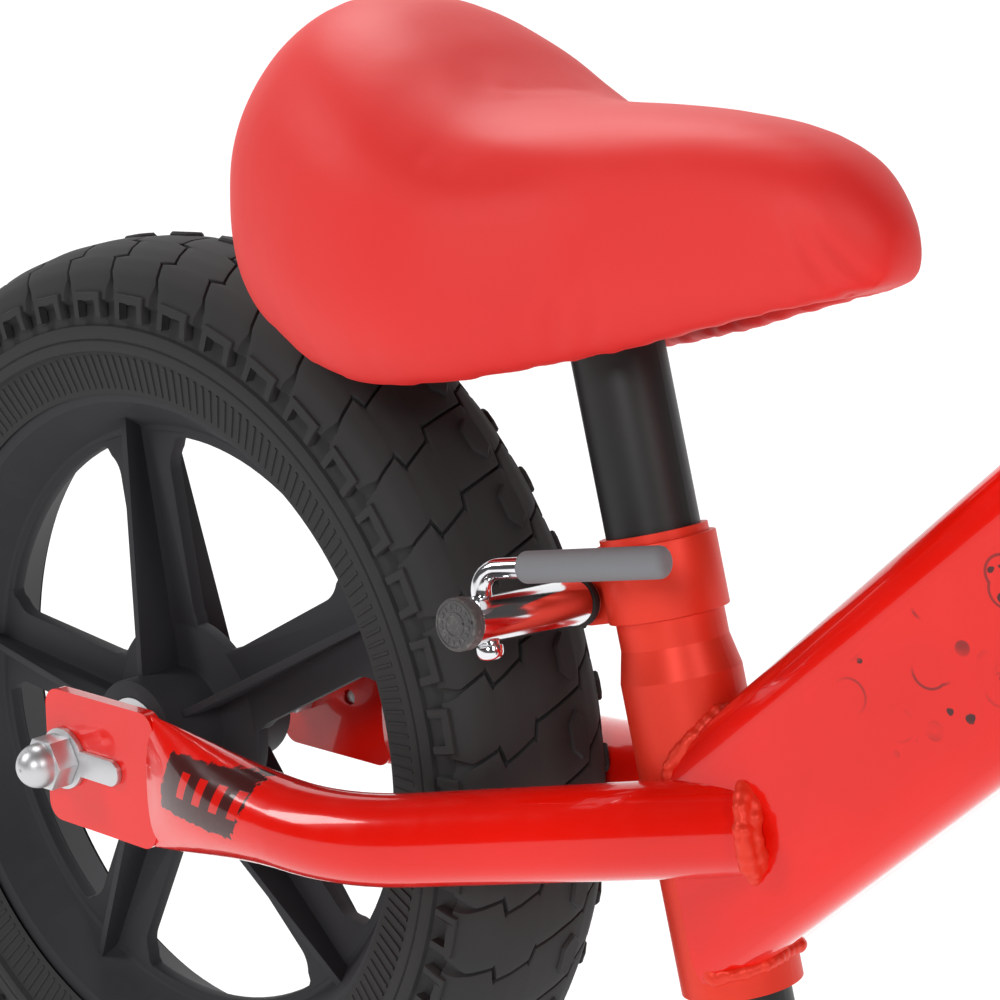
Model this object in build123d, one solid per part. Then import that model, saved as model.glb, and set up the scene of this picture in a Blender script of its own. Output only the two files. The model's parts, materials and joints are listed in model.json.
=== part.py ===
"""Balance bike: steel frame, foam-tyred plastic wheels, padded saddle on a clamped post, T handlebar.

Millimetres. +X is forward, +Y is the rider's left, +Z is up. The origin is on the floor, midway
between the two axles and on the centre plane.
"""
from build123d import *
import os
from math import cos, sin, tan, radians

os.makedirs("parts", exist_ok=True)

# ---------------------------------------------------------------- driving dimensions
wheelbase = 540.0
tyre_radius = 137.0

tyre_half_width = 25.0
tyre_bead_radius = 100.0
rim_web_half = 2.0
rim_web_shift = -1.5
window_outer_radius = 82.0
window_inner_radius = 30.0
spoke_half_width = 11.0
spoke_count = 5
first_spoke_angle = 100.9
rib_half_thickness = 1.1
rib_height_at_axis = 19.2
rib_taper = 0.125
hub_radius = 16.0
hub_half_length = 22.6

axle_radius = 4.0
bearing_radius = 11.0
bearing_width = 7.0
fit = 0.05

dropout_outer = 46.1
dropout_thickness = 3.5
stay_radius = 11.1
tube_wall = 1.5
tab_hole_x = 19.7

seat_tube_x = 180.7
seat_tube_lean = 14.5
seat_tube_radius = 14.3
seat_tube_top_radius = 12.7
seat_tube_bottom = -28.0
seat_tube_top = 79.0
swage_start = 45.5
swage_end = 53.0
post_radius = 11.1
post_bottom = -44.0
post_top = 139.0
saddle_bolt_height = 144.0

main_tube_height = 50.0
main_tube_width = 34.0
main_tube_slope = 44.0
main_tube_mid_x = 222.0
main_tube_mid_z = 40.7
main_tube_corner = 11.0

head_angle = 70.0
head_tube_x = 415.0
head_tube_radius = 18.0
head_tube_low = -62.0
head_tube_high = 45.0
steerer_radius = 14.3
bar_post_radius = 12.7

band_low = 59.5
band_high = 77.0
band_wall = 1.5
ear_gap_half = 3.0
ear_thickness = 3.5
clamp_bolt_offset = -18.5
clamp_bolt_height = 65.2
clamp_bolt_radius = 2.5
barrel_tilt = 4.0
barrel_radius = 5.5
barrel_start = 10.4
barrel_end = 48.5
cam_position = 42.0
lever_rod_radius = 2.4
lever_sleeve_radius = 3.6

saddle_skirt = 9.0
saddle_recess = 45.0
saddle_foam = 14.0

handlebar_radius = 9.5
handlebar_half_width = 190.0
grip_radius = 15.0

# ---------------------------------------------------------------- worked-out places
axle_z = tyre_radius
rear_x = -wheelbase / 2
front_x = wheelbase / 2
dropout_mid = dropout_outer - dropout_thickness / 2
main_tube_rise = tan(radians(main_tube_slope))
head_tube_z = main_tube_mid_z + (head_tube_x - main_tube_mid_x) * main_tube_rise


def from_rear_axle(x, y, z):
    return Vector(rear_x + x, y, axle_z + z)


def leaning_plane(origin, lean):
    """Local x forward, y left, z up along a tube that leans back by lean degrees."""
    a = radians(lean)
    return Plane(origin=origin, x_dir=(cos(a), 0, sin(a)), z_dir=(-sin(a), 0, cos(a)))


seat_frame = leaning_plane(from_rear_axle(seat_tube_x, 0, 0), seat_tube_lean)
head_frame = leaning_plane(from_rear_axle(head_tube_x, 0, head_tube_z), 90 - head_angle)


def clamp_plane():
    """Local x forward, y up along the seat tube, z outward along the clamp bolt (rider's right)."""
    a = radians(barrel_tilt)
    up = seat_frame.z_dir
    outward = Vector(0, -1, 0) * cos(a) + up * sin(a)
    origin = seat_frame.from_local_coords(Vector(clamp_bolt_offset, 0, clamp_bolt_height))
    return Plane(origin=origin, x_dir=seat_frame.x_dir, z_dir=outward)


# ---------------------------------------------------------------- shared shapes
def rod(radius, low, high):
    """Cylinder along local z."""
    return Pos(0, 0, (low + high) / 2) * Cylinder(radius, high - low)


def sleeve(outer, inner, low, high):
    return rod(outer, low, high) - rod(inner, low - 1, high + 1)


def rod_y(radius, low, high):
    """Cylinder along y."""
    return Pos(0, (low + high) / 2, 0) * Rot(90, 0, 0) * Cylinder(radius, high - low)


def sleeve_y(outer, inner, low, high):
    return rod_y(outer, low, high) - rod_y(inner, low - 1, high + 1)


def both_sides(shape):
    """The shape and its mirror image across the centre plane, as separate solids."""
    return Compound(children=[*shape.solids(), *mirror(shape, about=Plane.XZ).solids()])


def bent_rod(points, radius, corner):
    """Round rod along straight runs joined by arcs."""
    path = FilletPolyline(*points, radius=corner)
    start = Plane(origin=path @ 0, z_dir=path % 0)
    return sweep(start * Circle(radius), path=path)


def hexagon(across_flats, height):
    return extrude(RegularPolygon(across_flats / 2, 6, major_radius=False), height)


def save(name, shape):
    export_step(shape, "parts/" + name + ".step")


# ---------------------------------------------------------------- wheels
def rim():
    """Moulded wheel: ring, spokes left between rounded windows with a thin rib a side, and hub."""
    with_hub = rod_y(hub_radius, -hub_half_length, hub_half_length)
    web = rod_y(window_outer_radius + 4, rim_web_shift - rim_web_half, rim_web_shift + rim_web_half)
    outline = Polyline((84, -2), (93, -16.5), (96, -18), (tyre_bead_radius, -16),
                       (tyre_bead_radius, 16), (96, 18), (93, 16.5), (84, 2), close=True)
    ring = revolve(make_face(outline), Axis.Y)
    hub = with_hub + rod_y(window_inner_radius, rim_web_shift - rim_web_half, rim_web_shift + rim_web_half)
    inside = rod_y(window_outer_radius, -30, 30)
    lip = rod_y(window_outer_radius + 4, rim_web_shift - rim_web_half, rim_web_shift + rim_web_half) - inside
    ring = ring + lip
    spokes = web - windows() + ribs() - hub - ring
    bore = rod_y(7.0, -hub_half_length - 1, hub_half_length + 1)
    seats = both_sides(rod_y(bearing_radius, hub_half_length - bearing_width, hub_half_length + 1))
    return ring, spokes, hub - bore - seats.solids()[0] - seats.solids()[1]


def windows():
    """Five rounded openings between the spokes."""
    step = 360 / spoke_count
    flat = Circle(window_outer_radius) - Circle(window_inner_radius)
    for i in range(spoke_count):
        spoke = Pos(60, 0) * Rectangle(120, 2 * spoke_half_width)
        flat -= Rot(0, 0, first_spoke_angle + i * step) * spoke
    rounded = fillet(flat.vertices(), 8.0)
    on_side = Plane(origin=(0, 0, 0), x_dir=(1, 0, 0), z_dir=(0, -1, 0))
    return extrude(on_side * rounded, 10, both=True)


def ribs():
    """Thin tapering radial ribs, one each side of every spoke."""
    root, tip = hub_radius - 2, 92.0
    top = [(r, rib_height_at_axis - rib_taper * r) for r in (root, tip)]
    half = Polyline((root, 0), (tip, 0), (tip, top[1][1]), (root, top[0][1]), close=True)
    blade = extrude(make_face(half), rib_half_thickness, both=True)
    blade = blade + mirror(blade, about=Plane.XZ)
    result = None
    for i in range(spoke_count):
        turned = Rot(0, -(first_spoke_angle + i * 360 / spoke_count), 0) * blade
        result = turned if result is None else result + turned
    return result


def tyre():
    """Foam tyre, plain section: bead lip, shoulder and crowned tread."""
    half = [(tyre_bead_radius + 0.1, 16.1), (96.3, 18.3), (95.6, 19.2), (108, 23.2), (114.4, 24.3),
            (122, tyre_half_width), (130, 20), (135.5, 11), (tyre_radius, 4)]
    outline = Polyline(*half, *[(r, -y) for r, y in reversed(half)], close=True)
    return revolve(make_face(outline), Axis.Y)


def bearings():
    return both_sides(sleeve_y(bearing_radius, axle_radius + fit,
                               hub_half_length - bearing_width, hub_half_length))


def hub_spacer():
    return sleeve_y(6.5, axle_radius + fit, -(hub_half_length - bearing_width),
                    hub_half_length - bearing_width)


def axle():
    return rod_y(axle_radius, -56.5, 56.5)


def axle_spacers():
    return both_sides(sleeve_y(6.5, axle_radius + 0.02, hub_half_length + 0.3, 36.0))


def lock_nuts():
    nut = hexagon(13.0, 6.5) - rod(axle_radius + 0.02, -1, 8)
    return both_sides(Pos(0, 36.05, 0) * Rot(-90, 0, 0) * nut)


def cap_nuts():
    """Dome nuts: hexagon with a rounded closed end."""
    nut = hexagon(13.0, 6.5) + rod(6.0, 6.5, 7.5)
    nut = nut + (Pos(0, 0, 7.5) * Sphere(6.0) & rod(7.0, 7.5, 14.0))
    nut = nut - rod(axle_radius + 0.02, -1, 9.0)
    return both_sides(Pos(0, dropout_outer + 1.7, 0) * Rot(-90, 0, 0) * nut)


def tab_washers(reach):
    """Retaining washers: round body with a tab that hooks into the small hole by the slot."""
    flat = Circle(8.4) + Pos(reach / 2, 0) * Rectangle(reach, 7.0) + Pos(reach, 0) * Circle(3.5)
    body = extrude(flat, 1.5) + Pos(reach, 0, -1.3) * Cylinder(1.9, 2.6)
    body = body - rod(axle_radius + 0.02, -2, 3)
    return both_sides(Pos(0, dropout_outer + 0.1, 0) * Rot(90, 0, 0) * mirror(body, about=Plane.XY))


# ---------------------------------------------------------------- flattened tube ends
def flattened_end(run, flat_width, flat_length, behind, slot_side):
    """Tube end along local x, squashed into an upright plate at its start and round at run.

    The axle sits at the local origin and the plate reaches behind it; local y is across the plate."""
    def section(x, height, thickness):
        plane = Plane(origin=(x, 0, 0), x_dir=(0, 1, 0), z_dir=(1, 0, 0))
        return plane * Ellipse(thickness / 2, height / 2)

    outline = (Rectangle(flat_length + behind, flat_width) & Circle(flat_length * 1.2))
    upright = Plane(origin=((flat_length - behind) / 2, 0, 0), x_dir=(1, 0, 0), z_dir=(0, -1, 0))
    rounded = fillet(outline.vertices(), 5.0)
    plate = extrude(upright * rounded, dropout_thickness / 2, both=True)
    d = 2 * stay_radius
    start = Plane(origin=(flat_length - 3, 0, 0), x_dir=(0, 1, 0), z_dir=(1, 0, 0))
    cone = loft([start * Ellipse(dropout_thickness / 2, flat_width / 2 - 0.5),
                 section(flat_length + 12, flat_width * 0.86, d * 0.62),
                 section(flat_length + 30, flat_width * 0.70, d * 0.90),
                 section(run, d, d)])
    slot = rod_y(axle_radius + 0.2, -10, 10) + Pos(slot_side * 12, 0, 0) * Box(24, 20, 2 * axle_radius + 0.4)
    tab = Pos(tab_hole_x, 0, 0) * rod_y(2.3, -10, 10)
    return plate + cone - slot - tab


# ---------------------------------------------------------------- frame
def seat_tube():
    """Seat tube with a swaged top that is slit behind for the clamp."""
    outer = rod(seat_tube_radius, seat_tube_bottom, swage_start)
    swage = Cone(seat_tube_radius, seat_tube_top_radius, swage_end - swage_start)
    outer = outer + Pos(0, 0, (swage_start + swage_end) / 2) * swage
    outer = outer + rod(seat_tube_top_radius, swage_end, seat_tube_top)
    bore = rod(post_radius + fit, seat_tube_bottom - 1, seat_tube_top + 1)
    lower = rod(seat_tube_radius - tube_wall, seat_tube_bottom - 1, swage_start - 6)
    slit = Pos(-seat_tube_top_radius, 0, seat_tube_top - 12) * Box(10, 3, 26)
    return seat_frame * (outer - bore - lower - slit)


def main_tube():
    """Deep flat-sided tube from the seat tube up to the head tube."""
    a = radians(main_tube_slope)
    centre = from_rear_axle(main_tube_mid_x, 0, main_tube_mid_z)
    along = Plane(origin=centre, x_dir=(0, 1, 0), z_dir=(cos(a), 0, sin(a)))
    back, ahead = -80.0, (head_tube_x - main_tube_mid_x) / cos(a)
    outer = RectangleRounded(main_tube_width, main_tube_height, main_tube_corner)
    inner = RectangleRounded(main_tube_width - 3.2, main_tube_height - 3.2, main_tube_corner - 1.6)
    wall = along * Pos(0, 0, back) * extrude(outer - inner, ahead - back)
    behind = seat_frame * Pos(-100, 0, 0) * Box(200, 200, 400)
    body = wall - behind - seat_frame * rod(seat_tube_radius, -150, 150)
    body = body - head_frame * rod(head_tube_radius, -90, 90)
    return body.solids().sort_by(SortBy.VOLUME)[-1]


def head_tube():
    cups = rod(16.0, head_tube_low - 1, head_tube_low + 9) + rod(16.0, head_tube_high - 9, head_tube_high + 1)
    shell = sleeve(head_tube_radius, 15.2, head_tube_low, head_tube_high)
    return head_frame * (shell - cups)


def right_stay():
    """Chain stay: flattened dropout, round tube, gentle bend in to the seat tube."""
    round_from = 86.0
    end = flattened_end(round_from, 37.0, 36.0, 8.0, -1)
    end = Pos(0, -dropout_mid, 0) * end
    path = FilletPolyline((round_from, -dropout_mid, 0), (104, -dropout_mid, 0), (200, -10, 17),
                          radius=90)
    start = Plane(origin=path @ 0, z_dir=path % 0)
    tube = sweep(start * Circle(stay_radius), path=path)
    hollow = sweep(start * Circle(stay_radius - tube_wall), path=path)
    stay = Pos(rear_x, 0, axle_z) * (end + (tube - hollow))
    stay = stay - seat_frame * rod(seat_tube_radius + 0.02, -150, 150)
    stay = stay - main_tube_envelope()
    return stay.solids().sort_by(SortBy.VOLUME)[-1]


def main_tube_envelope():
    """The main tube as a filled bar in front of the seat tube, to cut what meets it."""
    a = radians(main_tube_slope)
    centre = from_rear_axle(main_tube_mid_x, 0, main_tube_mid_z)
    along = Plane(origin=centre, x_dir=(0, 1, 0), z_dir=(cos(a), 0, sin(a)))
    bar = along * Pos(0, 0, -80) * extrude(
        RectangleRounded(main_tube_width + 0.04, main_tube_height + 0.04, main_tube_corner), 200)
    return bar - seat_frame * Pos(-100, 0, 0) * Box(200, 200, 400)


def headset_cup(at, direction):
    """Cup pressed into the head tube, with a flange outside it."""
    flange = sleeve(19.5, 14.6, min(0, direction * 5), max(0, direction * 5))
    skirt = sleeve(15.95, 14.6, min(0, -direction * 8.8), max(0, -direction * 8.8))
    return head_frame * Pos(0, 0, at) * (flange + skirt)


# ---------------------------------------------------------------- seat clamp
def seat_clamp_band():
    """Split band with two ears behind the seat tube."""
    height = band_high - band_low
    middle = (band_high + band_low) / 2
    outer = seat_tube_top_radius + band_wall
    band = sleeve(outer, seat_tube_top_radius + 0.03, band_low, band_high)
    ear_length = 14.0
    ear_width = 2 * (ear_gap_half + ear_thickness)
    ear = Pos(-outer - ear_length / 2 + 4, 0, middle) * Box(ear_length, ear_width, height)
    ear = fillet(ear.edges().filter_by(Axis.Y).sort_by(Axis.X)[:2], 6.0)
    body = band + ear - rod(seat_tube_top_radius + 0.03, 0, 100)
    body = body - Pos(-outer - 6, 0, middle) * Box(24, 2 * ear_gap_half, height + 2)
    return seat_frame * body - clamp_plane() * rod(clamp_bolt_radius + 0.7, -20, 20)


def clamp_bolt():
    """Threaded bolt of the quick release, head buried in the barrel."""
    return clamp_plane() * rod(clamp_bolt_radius, -13.5, 34.0)


def clamp_nut():
    nut = hexagon(9.0, 4.5) - rod(clamp_bolt_radius + 0.02, -1, 6)
    return clamp_plane() * Pos(0, 0, -12.6) * nut


def clamp_washers():
    near = sleeve(5.2, clamp_bolt_radius + 0.1, 7.2, 8.2)
    far = sleeve(5.2, clamp_bolt_radius + 0.1, -8.0, -7.2)
    return Compound(children=[*(clamp_plane() * near).solids(), *(clamp_plane() * far).solids()])


def barrel_ring():
    """Black rubber ring between washer and barrel."""
    return clamp_plane() * sleeve(5.9, clamp_bolt_radius + 0.1, 8.25, barrel_start - 0.05)


def lever_barrel():
    barrel = rod(barrel_radius, barrel_start, barrel_end)
    barrel = chamfer(barrel.edges().filter_by(GeomType.CIRCLE), 0.4)
    bolt_hole = rod(clamp_bolt_radius + 0.02, barrel_start - 1, 34.2)
    cam_hole = Pos(0, 0, cam_position) * Rot(90, 0, 0) * Cylinder(lever_rod_radius + fit, 30)
    return clamp_plane() * (barrel - bolt_hole - cam_hole)


def lever_end_cap():
    """Plastic cap pressed on the outer end of the barrel."""
    cap = rod(6.0, barrel_end + 0.05, barrel_end + 3.6)
    return clamp_plane() * fillet(cap.edges().filter_by(GeomType.CIRCLE).sort_by(Axis.Z)[-1], 0.8)


lever_points = [(0, -6.6, cam_position), (0, 11.2, cam_position), (44, 7.2, 35.0)]


def lever_rod():
    """Cam shaft through the barrel, riveted below and bent into the lever above."""
    shaft = bent_rod(lever_points, lever_rod_radius, 5.0)
    rivet = Pos(0, -barrel_radius - 0.35, cam_position) * Rot(90, 0, 0) * rod(3.1, 0, 3.4)
    rivet = fillet(rivet.edges().filter_by(GeomType.CIRCLE).sort_by(Axis.Y)[0], 2.0)
    return clamp_plane() * (shaft + rivet)


def lever_sleeve():
    """Plastic grip slipped over the lever's free end."""
    a = Vector(*lever_points[1])
    b = Vector(*lever_points[2])
    run = (b - a).normalized()
    start = Plane(origin=a + run * 11.0, z_dir=run)
    length = (b - a).length - 11.0 + 3.0
    grip = start * rod(lever_sleeve_radius, 0, length)
    grip = fillet(grip.edges().filter_by(GeomType.CIRCLE), 2.2)
    return clamp_plane() * grip - lever_rod()


# ---------------------------------------------------------------- saddle and post
# station, half width, underside height and top height, all from the rear axle
saddle_stations = [(52, 20, 145, 166), (62.5, 38, 129, 183), (84, 50, 116.5, 199), (104, 54, 111.3, 194),
                   (123, 54, 110.8, 181), (140, 48, 113.3, 173.5), (160, 37, 118, 172.3),
                   (185, 28, 125, 170.6), (205, 21.5, 130.5, 166.5), (219, 14, 134.5, 157), (225, 8, 137, 149)]


def saddle_loft(stations, inset, low, high):
    """Loft of rounded sections; low and high give each section's bottom and top."""
    sections = []
    for x, half, under, top in stations:
        z0, z1 = low(under, top), high(under, top)
        width = 2 * (half - inset)
        corner = min(width, z1 - z0) * 0.36
        place = from_rear_axle(x, 0, (z0 + z1) / 2)
        plane = Plane(origin=place, x_dir=(0, 1, 0), z_dir=(1, 0, 0))
        sections.append(plane * RectangleRounded(width, z1 - z0, corner))
    return loft(sections)


def recess_ceiling(under, top):
    return min(under + saddle_recess, top - saddle_foam)


def saddle_pad():
    """Padded cover, open underneath where the base, rails and clamp sit."""
    whole = saddle_loft(saddle_stations, 0, lambda under, top: under, lambda under, top: top)
    recess = saddle_loft(saddle_stations[2:-2], saddle_skirt, lambda under, top: under - 12,
                         lambda under, top: recess_ceiling(under, top) + 0.3)
    pad = whole - recess - saddle_base()
    for rail in saddle_rails().solids():
        pad = pad - rail
    return pad


def saddle_base():
    """Stiff plastic pan under the foam."""
    pan = saddle_loft(saddle_stations[2:-2], saddle_skirt + 0.5,
                      lambda under, top: recess_ceiling(under, top) - 6, recess_ceiling)
    for rail in saddle_rails().solids():
        pan = pan - rail
    return pan


def saddle_rails():
    points = [(95, 18, 153.0), (108, 18, 147.5), (170, 18, 149.0), (184, 18, 158)]
    rail = bent_rod([from_rear_axle(*p) for p in points], 3.0, 9.0)
    return both_sides(rail)


def saddle_clamp():
    """Steel clamp body on the top of the post with a cross tube for the clamp bolt."""
    socket = sleeve(13.6, post_radius + 0.02, post_top - 14, post_top)
    cross = Pos(0, 0, saddle_bolt_height) * rod_y(7.0, -14.2, 14.2)
    hole = Pos(0, 0, saddle_bolt_height) * rod_y(4.05, -20, 20)
    return seat_frame * (socket + cross - rod(post_radius + 0.02, post_top - 20, post_top) - hole)


def saddle_clamp_discs():
    disc = Pos(0, 0, saddle_bolt_height) * sleeve_y(10.5, 4.05, 14.3, 22.0)
    return both_sides(seat_frame * disc)


def saddle_clamp_bolt():
    """Through bolt with a nut at each end."""
    bolt = rod_y(4.0, -27.5, 27.5)
    nut = Pos(0, 22.1, 0) * Rot(-90, 0, 0) * hexagon(13.0, 5.0)
    return seat_frame * Pos(0, 0, saddle_bolt_height) * (bolt + nut + mirror(nut, about=Plane.XZ))


def seat_post():
    return seat_frame * sleeve(post_radius, post_radius - tube_wall, post_bottom, post_top)


def seat_post_plug():
    """Plastic plug that closes the lower end of the post."""
    stem = rod(post_radius - tube_wall - 0.02, post_bottom, post_bottom + 10)
    head = rod(post_radius, post_bottom - 2.5, post_bottom - 0.02)
    return seat_frame * (stem + rod(8, post_bottom - 1, post_bottom + 1) + head)


# ---------------------------------------------------------------- fork and handlebar
crown_low = head_tube_low - 26.0
steerer_top = head_tube_high + 44.0


def fork_steerer():
    tube = sleeve(steerer_radius, bar_post_radius + fit, head_tube_low - 9.0, steerer_top)
    slit = Pos(steerer_radius, 0, steerer_top - 10) * Box(8, 3, 24)
    return head_frame * (tube - slit)


def fork_crown():
    block = rod(19.0, crown_low, head_tube_low - 9.05)
    return head_frame * fillet(block.edges().filter_by(GeomType.CIRCLE), 1.5)


def blade_plane():
    """Local x runs from the front axle up to the fork crown, y left."""
    axle_point = Vector(front_x, 0, axle_z)
    crown_point = head_frame.from_local_coords(Vector(0, 0, crown_low + 5))
    up = (crown_point - axle_point).normalized()
    z_dir = up.cross(Vector(0, 1, 0))
    return Plane(origin=axle_point, x_dir=up, z_dir=z_dir), (crown_point - axle_point).length


def right_blade():
    """Fork blade: flattened dropout, straight tube and a bend in under the crown."""
    plane, reach = blade_plane()
    round_from = 84.0
    end = Pos(0, -dropout_mid, 0) * flattened_end(round_from, 34.0, 33.0, 8.0, -1)
    path = FilletPolyline((round_from, -dropout_mid, 0), (reach, -dropout_mid, 0), (reach, 0, 0),
                          radius=30)
    start = Plane(origin=path @ 0, z_dir=path % 0)
    tube = sweep(start * Circle(stay_radius), path=path)
    hollow = sweep(start * Circle(stay_radius - tube_wall), path=path)
    blade = plane * (end + (tube - hollow))
    blade = blade - head_frame * rod(19.02, crown_low - 30, head_tube_low)
    blade = blade - head_frame * rod(30, head_tube_low - 9.3, head_tube_low + 20)
    blade = blade & (Pos(front_x, -60, axle_z) * Box(500, 120 - 0.1, 600))
    return blade.solids().sort_by(SortBy.VOLUME)[-1]


def crown_race():
    return head_frame * sleeve(19.5, steerer_radius + 0.02, head_tube_low - 9.0, head_tube_low - 5.4)


def headset_locknut():
    nut = hexagon(34.0, 7.0) - rod(steerer_radius + 0.02, -1, 9)
    return head_frame * Pos(0, 0, head_tube_high + 5.4) * nut


def bar_clamp_collar():
    """Split collar round the slit top of the steerer, ears in front."""
    low, high = steerer_top - 20, steerer_top - 1
    middle = (low + high) / 2
    band = sleeve(steerer_radius + 3, steerer_radius + 0.03, low, high)
    ears = Pos(steerer_radius + 8, 0, middle) * Box(16, 16, high - low)
    ears = fillet(ears.edges().filter_by(Axis.Y).sort_by(Axis.X)[-2:], 6.0)
    gap = Pos(steerer_radius + 8, 0, middle) * Box(24, 4, high - low + 2)
    hole = Pos(steerer_radius + 9.5, 0, middle) * rod_y(3.05, -20, 20)
    return head_frame * (band + ears - rod(steerer_radius + 0.03, low - 1, high + 1) - gap - hole)


def bar_clamp_bolt():
    middle = steerer_top - 10.5
    bolt = rod_y(3.0, -8.1, 12.5)
    socket = Pos(0, 0, 3.0) * hexagon(5.0, 12.0)
    head = Pos(0, -8.05, 0) * Rot(90, 0, 0) * (rod(5.0, 0, 6.0) - socket)
    nut = Pos(0, 8.05, 0) * Rot(-90, 0, 0) * hexagon(10.0, 5.0)
    return head_frame * Pos(steerer_radius + 9.5, 0, middle) * (bolt + head + nut)


bar_height = 192.0


def bar_post():
    """Handlebar post that slides in the steerer."""
    tube = sleeve(bar_post_radius, bar_post_radius - 1.6, -30.0, bar_height)
    return head_frame * (tube - Pos(0, 0, bar_height) * rod_y(handlebar_radius + 0.02, -60, 60))


def handlebar():
    """Bent bar with a rise at each side and a little backsweep, open at its ends."""
    points = [(-18, -handlebar_half_width + 3, 34), (-4, -112, 34), (0, -52, 0), (0, 52, 0), (-4, 112, 34),
              (-18, handlebar_half_width - 3, 34)]
    path = FilletPolyline(*points, radius=38)
    start = Plane(origin=path @ 0, z_dir=path % 0)
    outer = sweep(start * Circle(handlebar_radius), path=path)
    inner = sweep(start * Circle(handlebar_radius - 1.6), path=path)
    return head_frame * Pos(0, 0, bar_height) * (outer - inner)


def left_grip():
    """Ribless rubber sleeve with a round flange at the inner end and a closed outer end."""
    outer_end = Vector(-18, handlebar_half_width - 3, 34)
    bend = Vector(-4, 112, 34)
    inward = (bend - outer_end).normalized()
    start = Plane(origin=outer_end - inward * 3.0, z_dir=inward)
    inner_length = 68.0
    grip = rod(grip_radius, 0, inner_length) + rod(grip_radius + 8, inner_length, inner_length + 4)
    grip = fillet(grip.edges().filter_by(GeomType.CIRCLE), 1.6)
    bored = grip - rod(handlebar_radius + 0.06, 2.9, inner_length + 10)
    tilt = start * bored
    return head_frame * Pos(0, 0, bar_height) * tilt


# ---------------------------------------------------------------- write every sub-part
def build():
    save("seat_tube", seat_tube())
    save("main_tube", main_tube())
    save("head_tube", head_tube())
    stay = right_stay()
    save("right_chainstay", stay)
    save("left_chainstay", mirror(stay, about=Plane.XZ))
    save("upper_headset_cup", headset_cup(head_tube_high, 1))
    save("lower_headset_cup", headset_cup(head_tube_low, -1))

    save("seat_clamp_band", seat_clamp_band())
    save("clamp_bolt", clamp_bolt())
    save("clamp_nut", clamp_nut())
    save("clamp_washers", clamp_washers())
    save("barrel_ring", barrel_ring())
    save("lever_barrel", lever_barrel())
    save("lever_end_cap", lever_end_cap())
    save("lever_rod", lever_rod())
    save("lever_sleeve", lever_sleeve())

    save("seat_post", seat_post())
    save("seat_post_plug", seat_post_plug())
    save("saddle_pad", saddle_pad())
    save("saddle_base", saddle_base())
    save("saddle_rails", saddle_rails())
    save("saddle_clamp", saddle_clamp())
    save("saddle_clamp_bolt", saddle_clamp_bolt())
    rails = saddle_rails()
    discs = saddle_clamp_discs()
    for rail in rails.solids():
        discs = discs - rail
    save("saddle_clamp_discs", Compound(children=discs.solids()))

    slot_turn = {"rear": 0.0, "front": -degrees_of_blade()}
    for end, x in (("rear", rear_x), ("front", front_x)):
        place = Pos(x, 0, axle_z)
        ring, spokes, hub = rim()
        save(end + "_rim", place * ring)
        save(end + "_spokes", place * Compound(children=spokes.solids()))
        save(end + "_hub", place * hub)
        save(end + "_tyre", place * tyre())
        save(end + "_bearings", place * bearings())
        save(end + "_hub_spacer", place * hub_spacer())
        save(end + "_axle", place * axle())
        save(end + "_axle_spacers", place * axle_spacers())
        save(end + "_lock_nuts", place * lock_nuts())
        save(end + "_cap_nuts", place * cap_nuts())
        save(end + "_tab_washers", place * Rot(0, slot_turn[end], 0) * tab_washers(tab_hole_x))

    save("fork_steerer", fork_steerer())
    save("fork_crown", fork_crown())
    blade = right_blade()
    save("right_fork_blade", blade)
    save("left_fork_blade", mirror(blade, about=Plane.XZ))
    save("crown_race", crown_race())
    save("headset_locknut", headset_locknut())
    save("bar_clamp_collar", bar_clamp_collar())
    save("bar_clamp_bolt", bar_clamp_bolt())
    save("bar_post", bar_post())
    save("handlebar", handlebar())
    grip = left_grip()
    save("left_grip", grip)
    save("right_grip", mirror(grip, about=Plane.XZ))


def degrees_of_blade():
    """Angle of the fork blades above the floor, seen from the right, front to back."""
    return Vector(1, 0, 0).get_angle(blade_plane()[0].x_dir)


build()
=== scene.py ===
"""Balance bike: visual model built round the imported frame.

Every piece is in metres in the frame's own axes: +X forward, +Y to the rider's left, +Z up.
"""
import json
import math
import random

import bmesh
import bpy
from mathutils import Matrix, Vector, noise
from mathutils.bvhtree import BVHTree

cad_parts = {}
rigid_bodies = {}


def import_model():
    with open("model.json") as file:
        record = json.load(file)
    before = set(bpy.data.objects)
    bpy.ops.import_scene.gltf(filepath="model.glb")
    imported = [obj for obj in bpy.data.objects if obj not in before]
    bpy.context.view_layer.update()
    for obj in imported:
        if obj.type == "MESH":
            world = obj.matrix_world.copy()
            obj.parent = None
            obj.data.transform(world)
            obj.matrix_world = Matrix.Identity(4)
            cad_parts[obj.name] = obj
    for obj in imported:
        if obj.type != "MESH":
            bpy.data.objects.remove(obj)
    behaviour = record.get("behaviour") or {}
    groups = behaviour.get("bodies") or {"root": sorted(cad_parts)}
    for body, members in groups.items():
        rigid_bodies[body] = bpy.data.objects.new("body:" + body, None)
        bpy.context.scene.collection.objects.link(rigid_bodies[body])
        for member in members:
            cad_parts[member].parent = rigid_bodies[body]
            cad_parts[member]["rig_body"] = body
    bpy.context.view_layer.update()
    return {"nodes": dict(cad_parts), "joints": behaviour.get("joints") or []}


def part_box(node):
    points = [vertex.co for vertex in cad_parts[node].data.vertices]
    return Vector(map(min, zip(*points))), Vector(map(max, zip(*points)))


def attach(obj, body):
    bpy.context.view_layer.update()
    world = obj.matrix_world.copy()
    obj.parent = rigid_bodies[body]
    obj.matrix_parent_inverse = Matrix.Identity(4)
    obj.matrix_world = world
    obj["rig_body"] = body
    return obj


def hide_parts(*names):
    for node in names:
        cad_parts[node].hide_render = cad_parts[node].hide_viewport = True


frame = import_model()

bl_info = {
    "name": "Balance bike",
    "version": (1, 0, 0),
    "blender": (4, 5, 0),
    "location": "3D View > Sidebar > Balance bike",
    "description": "Builds the visible pieces of a child's balance bike round its fixed frame",
    "category": "Object",
}

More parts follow.
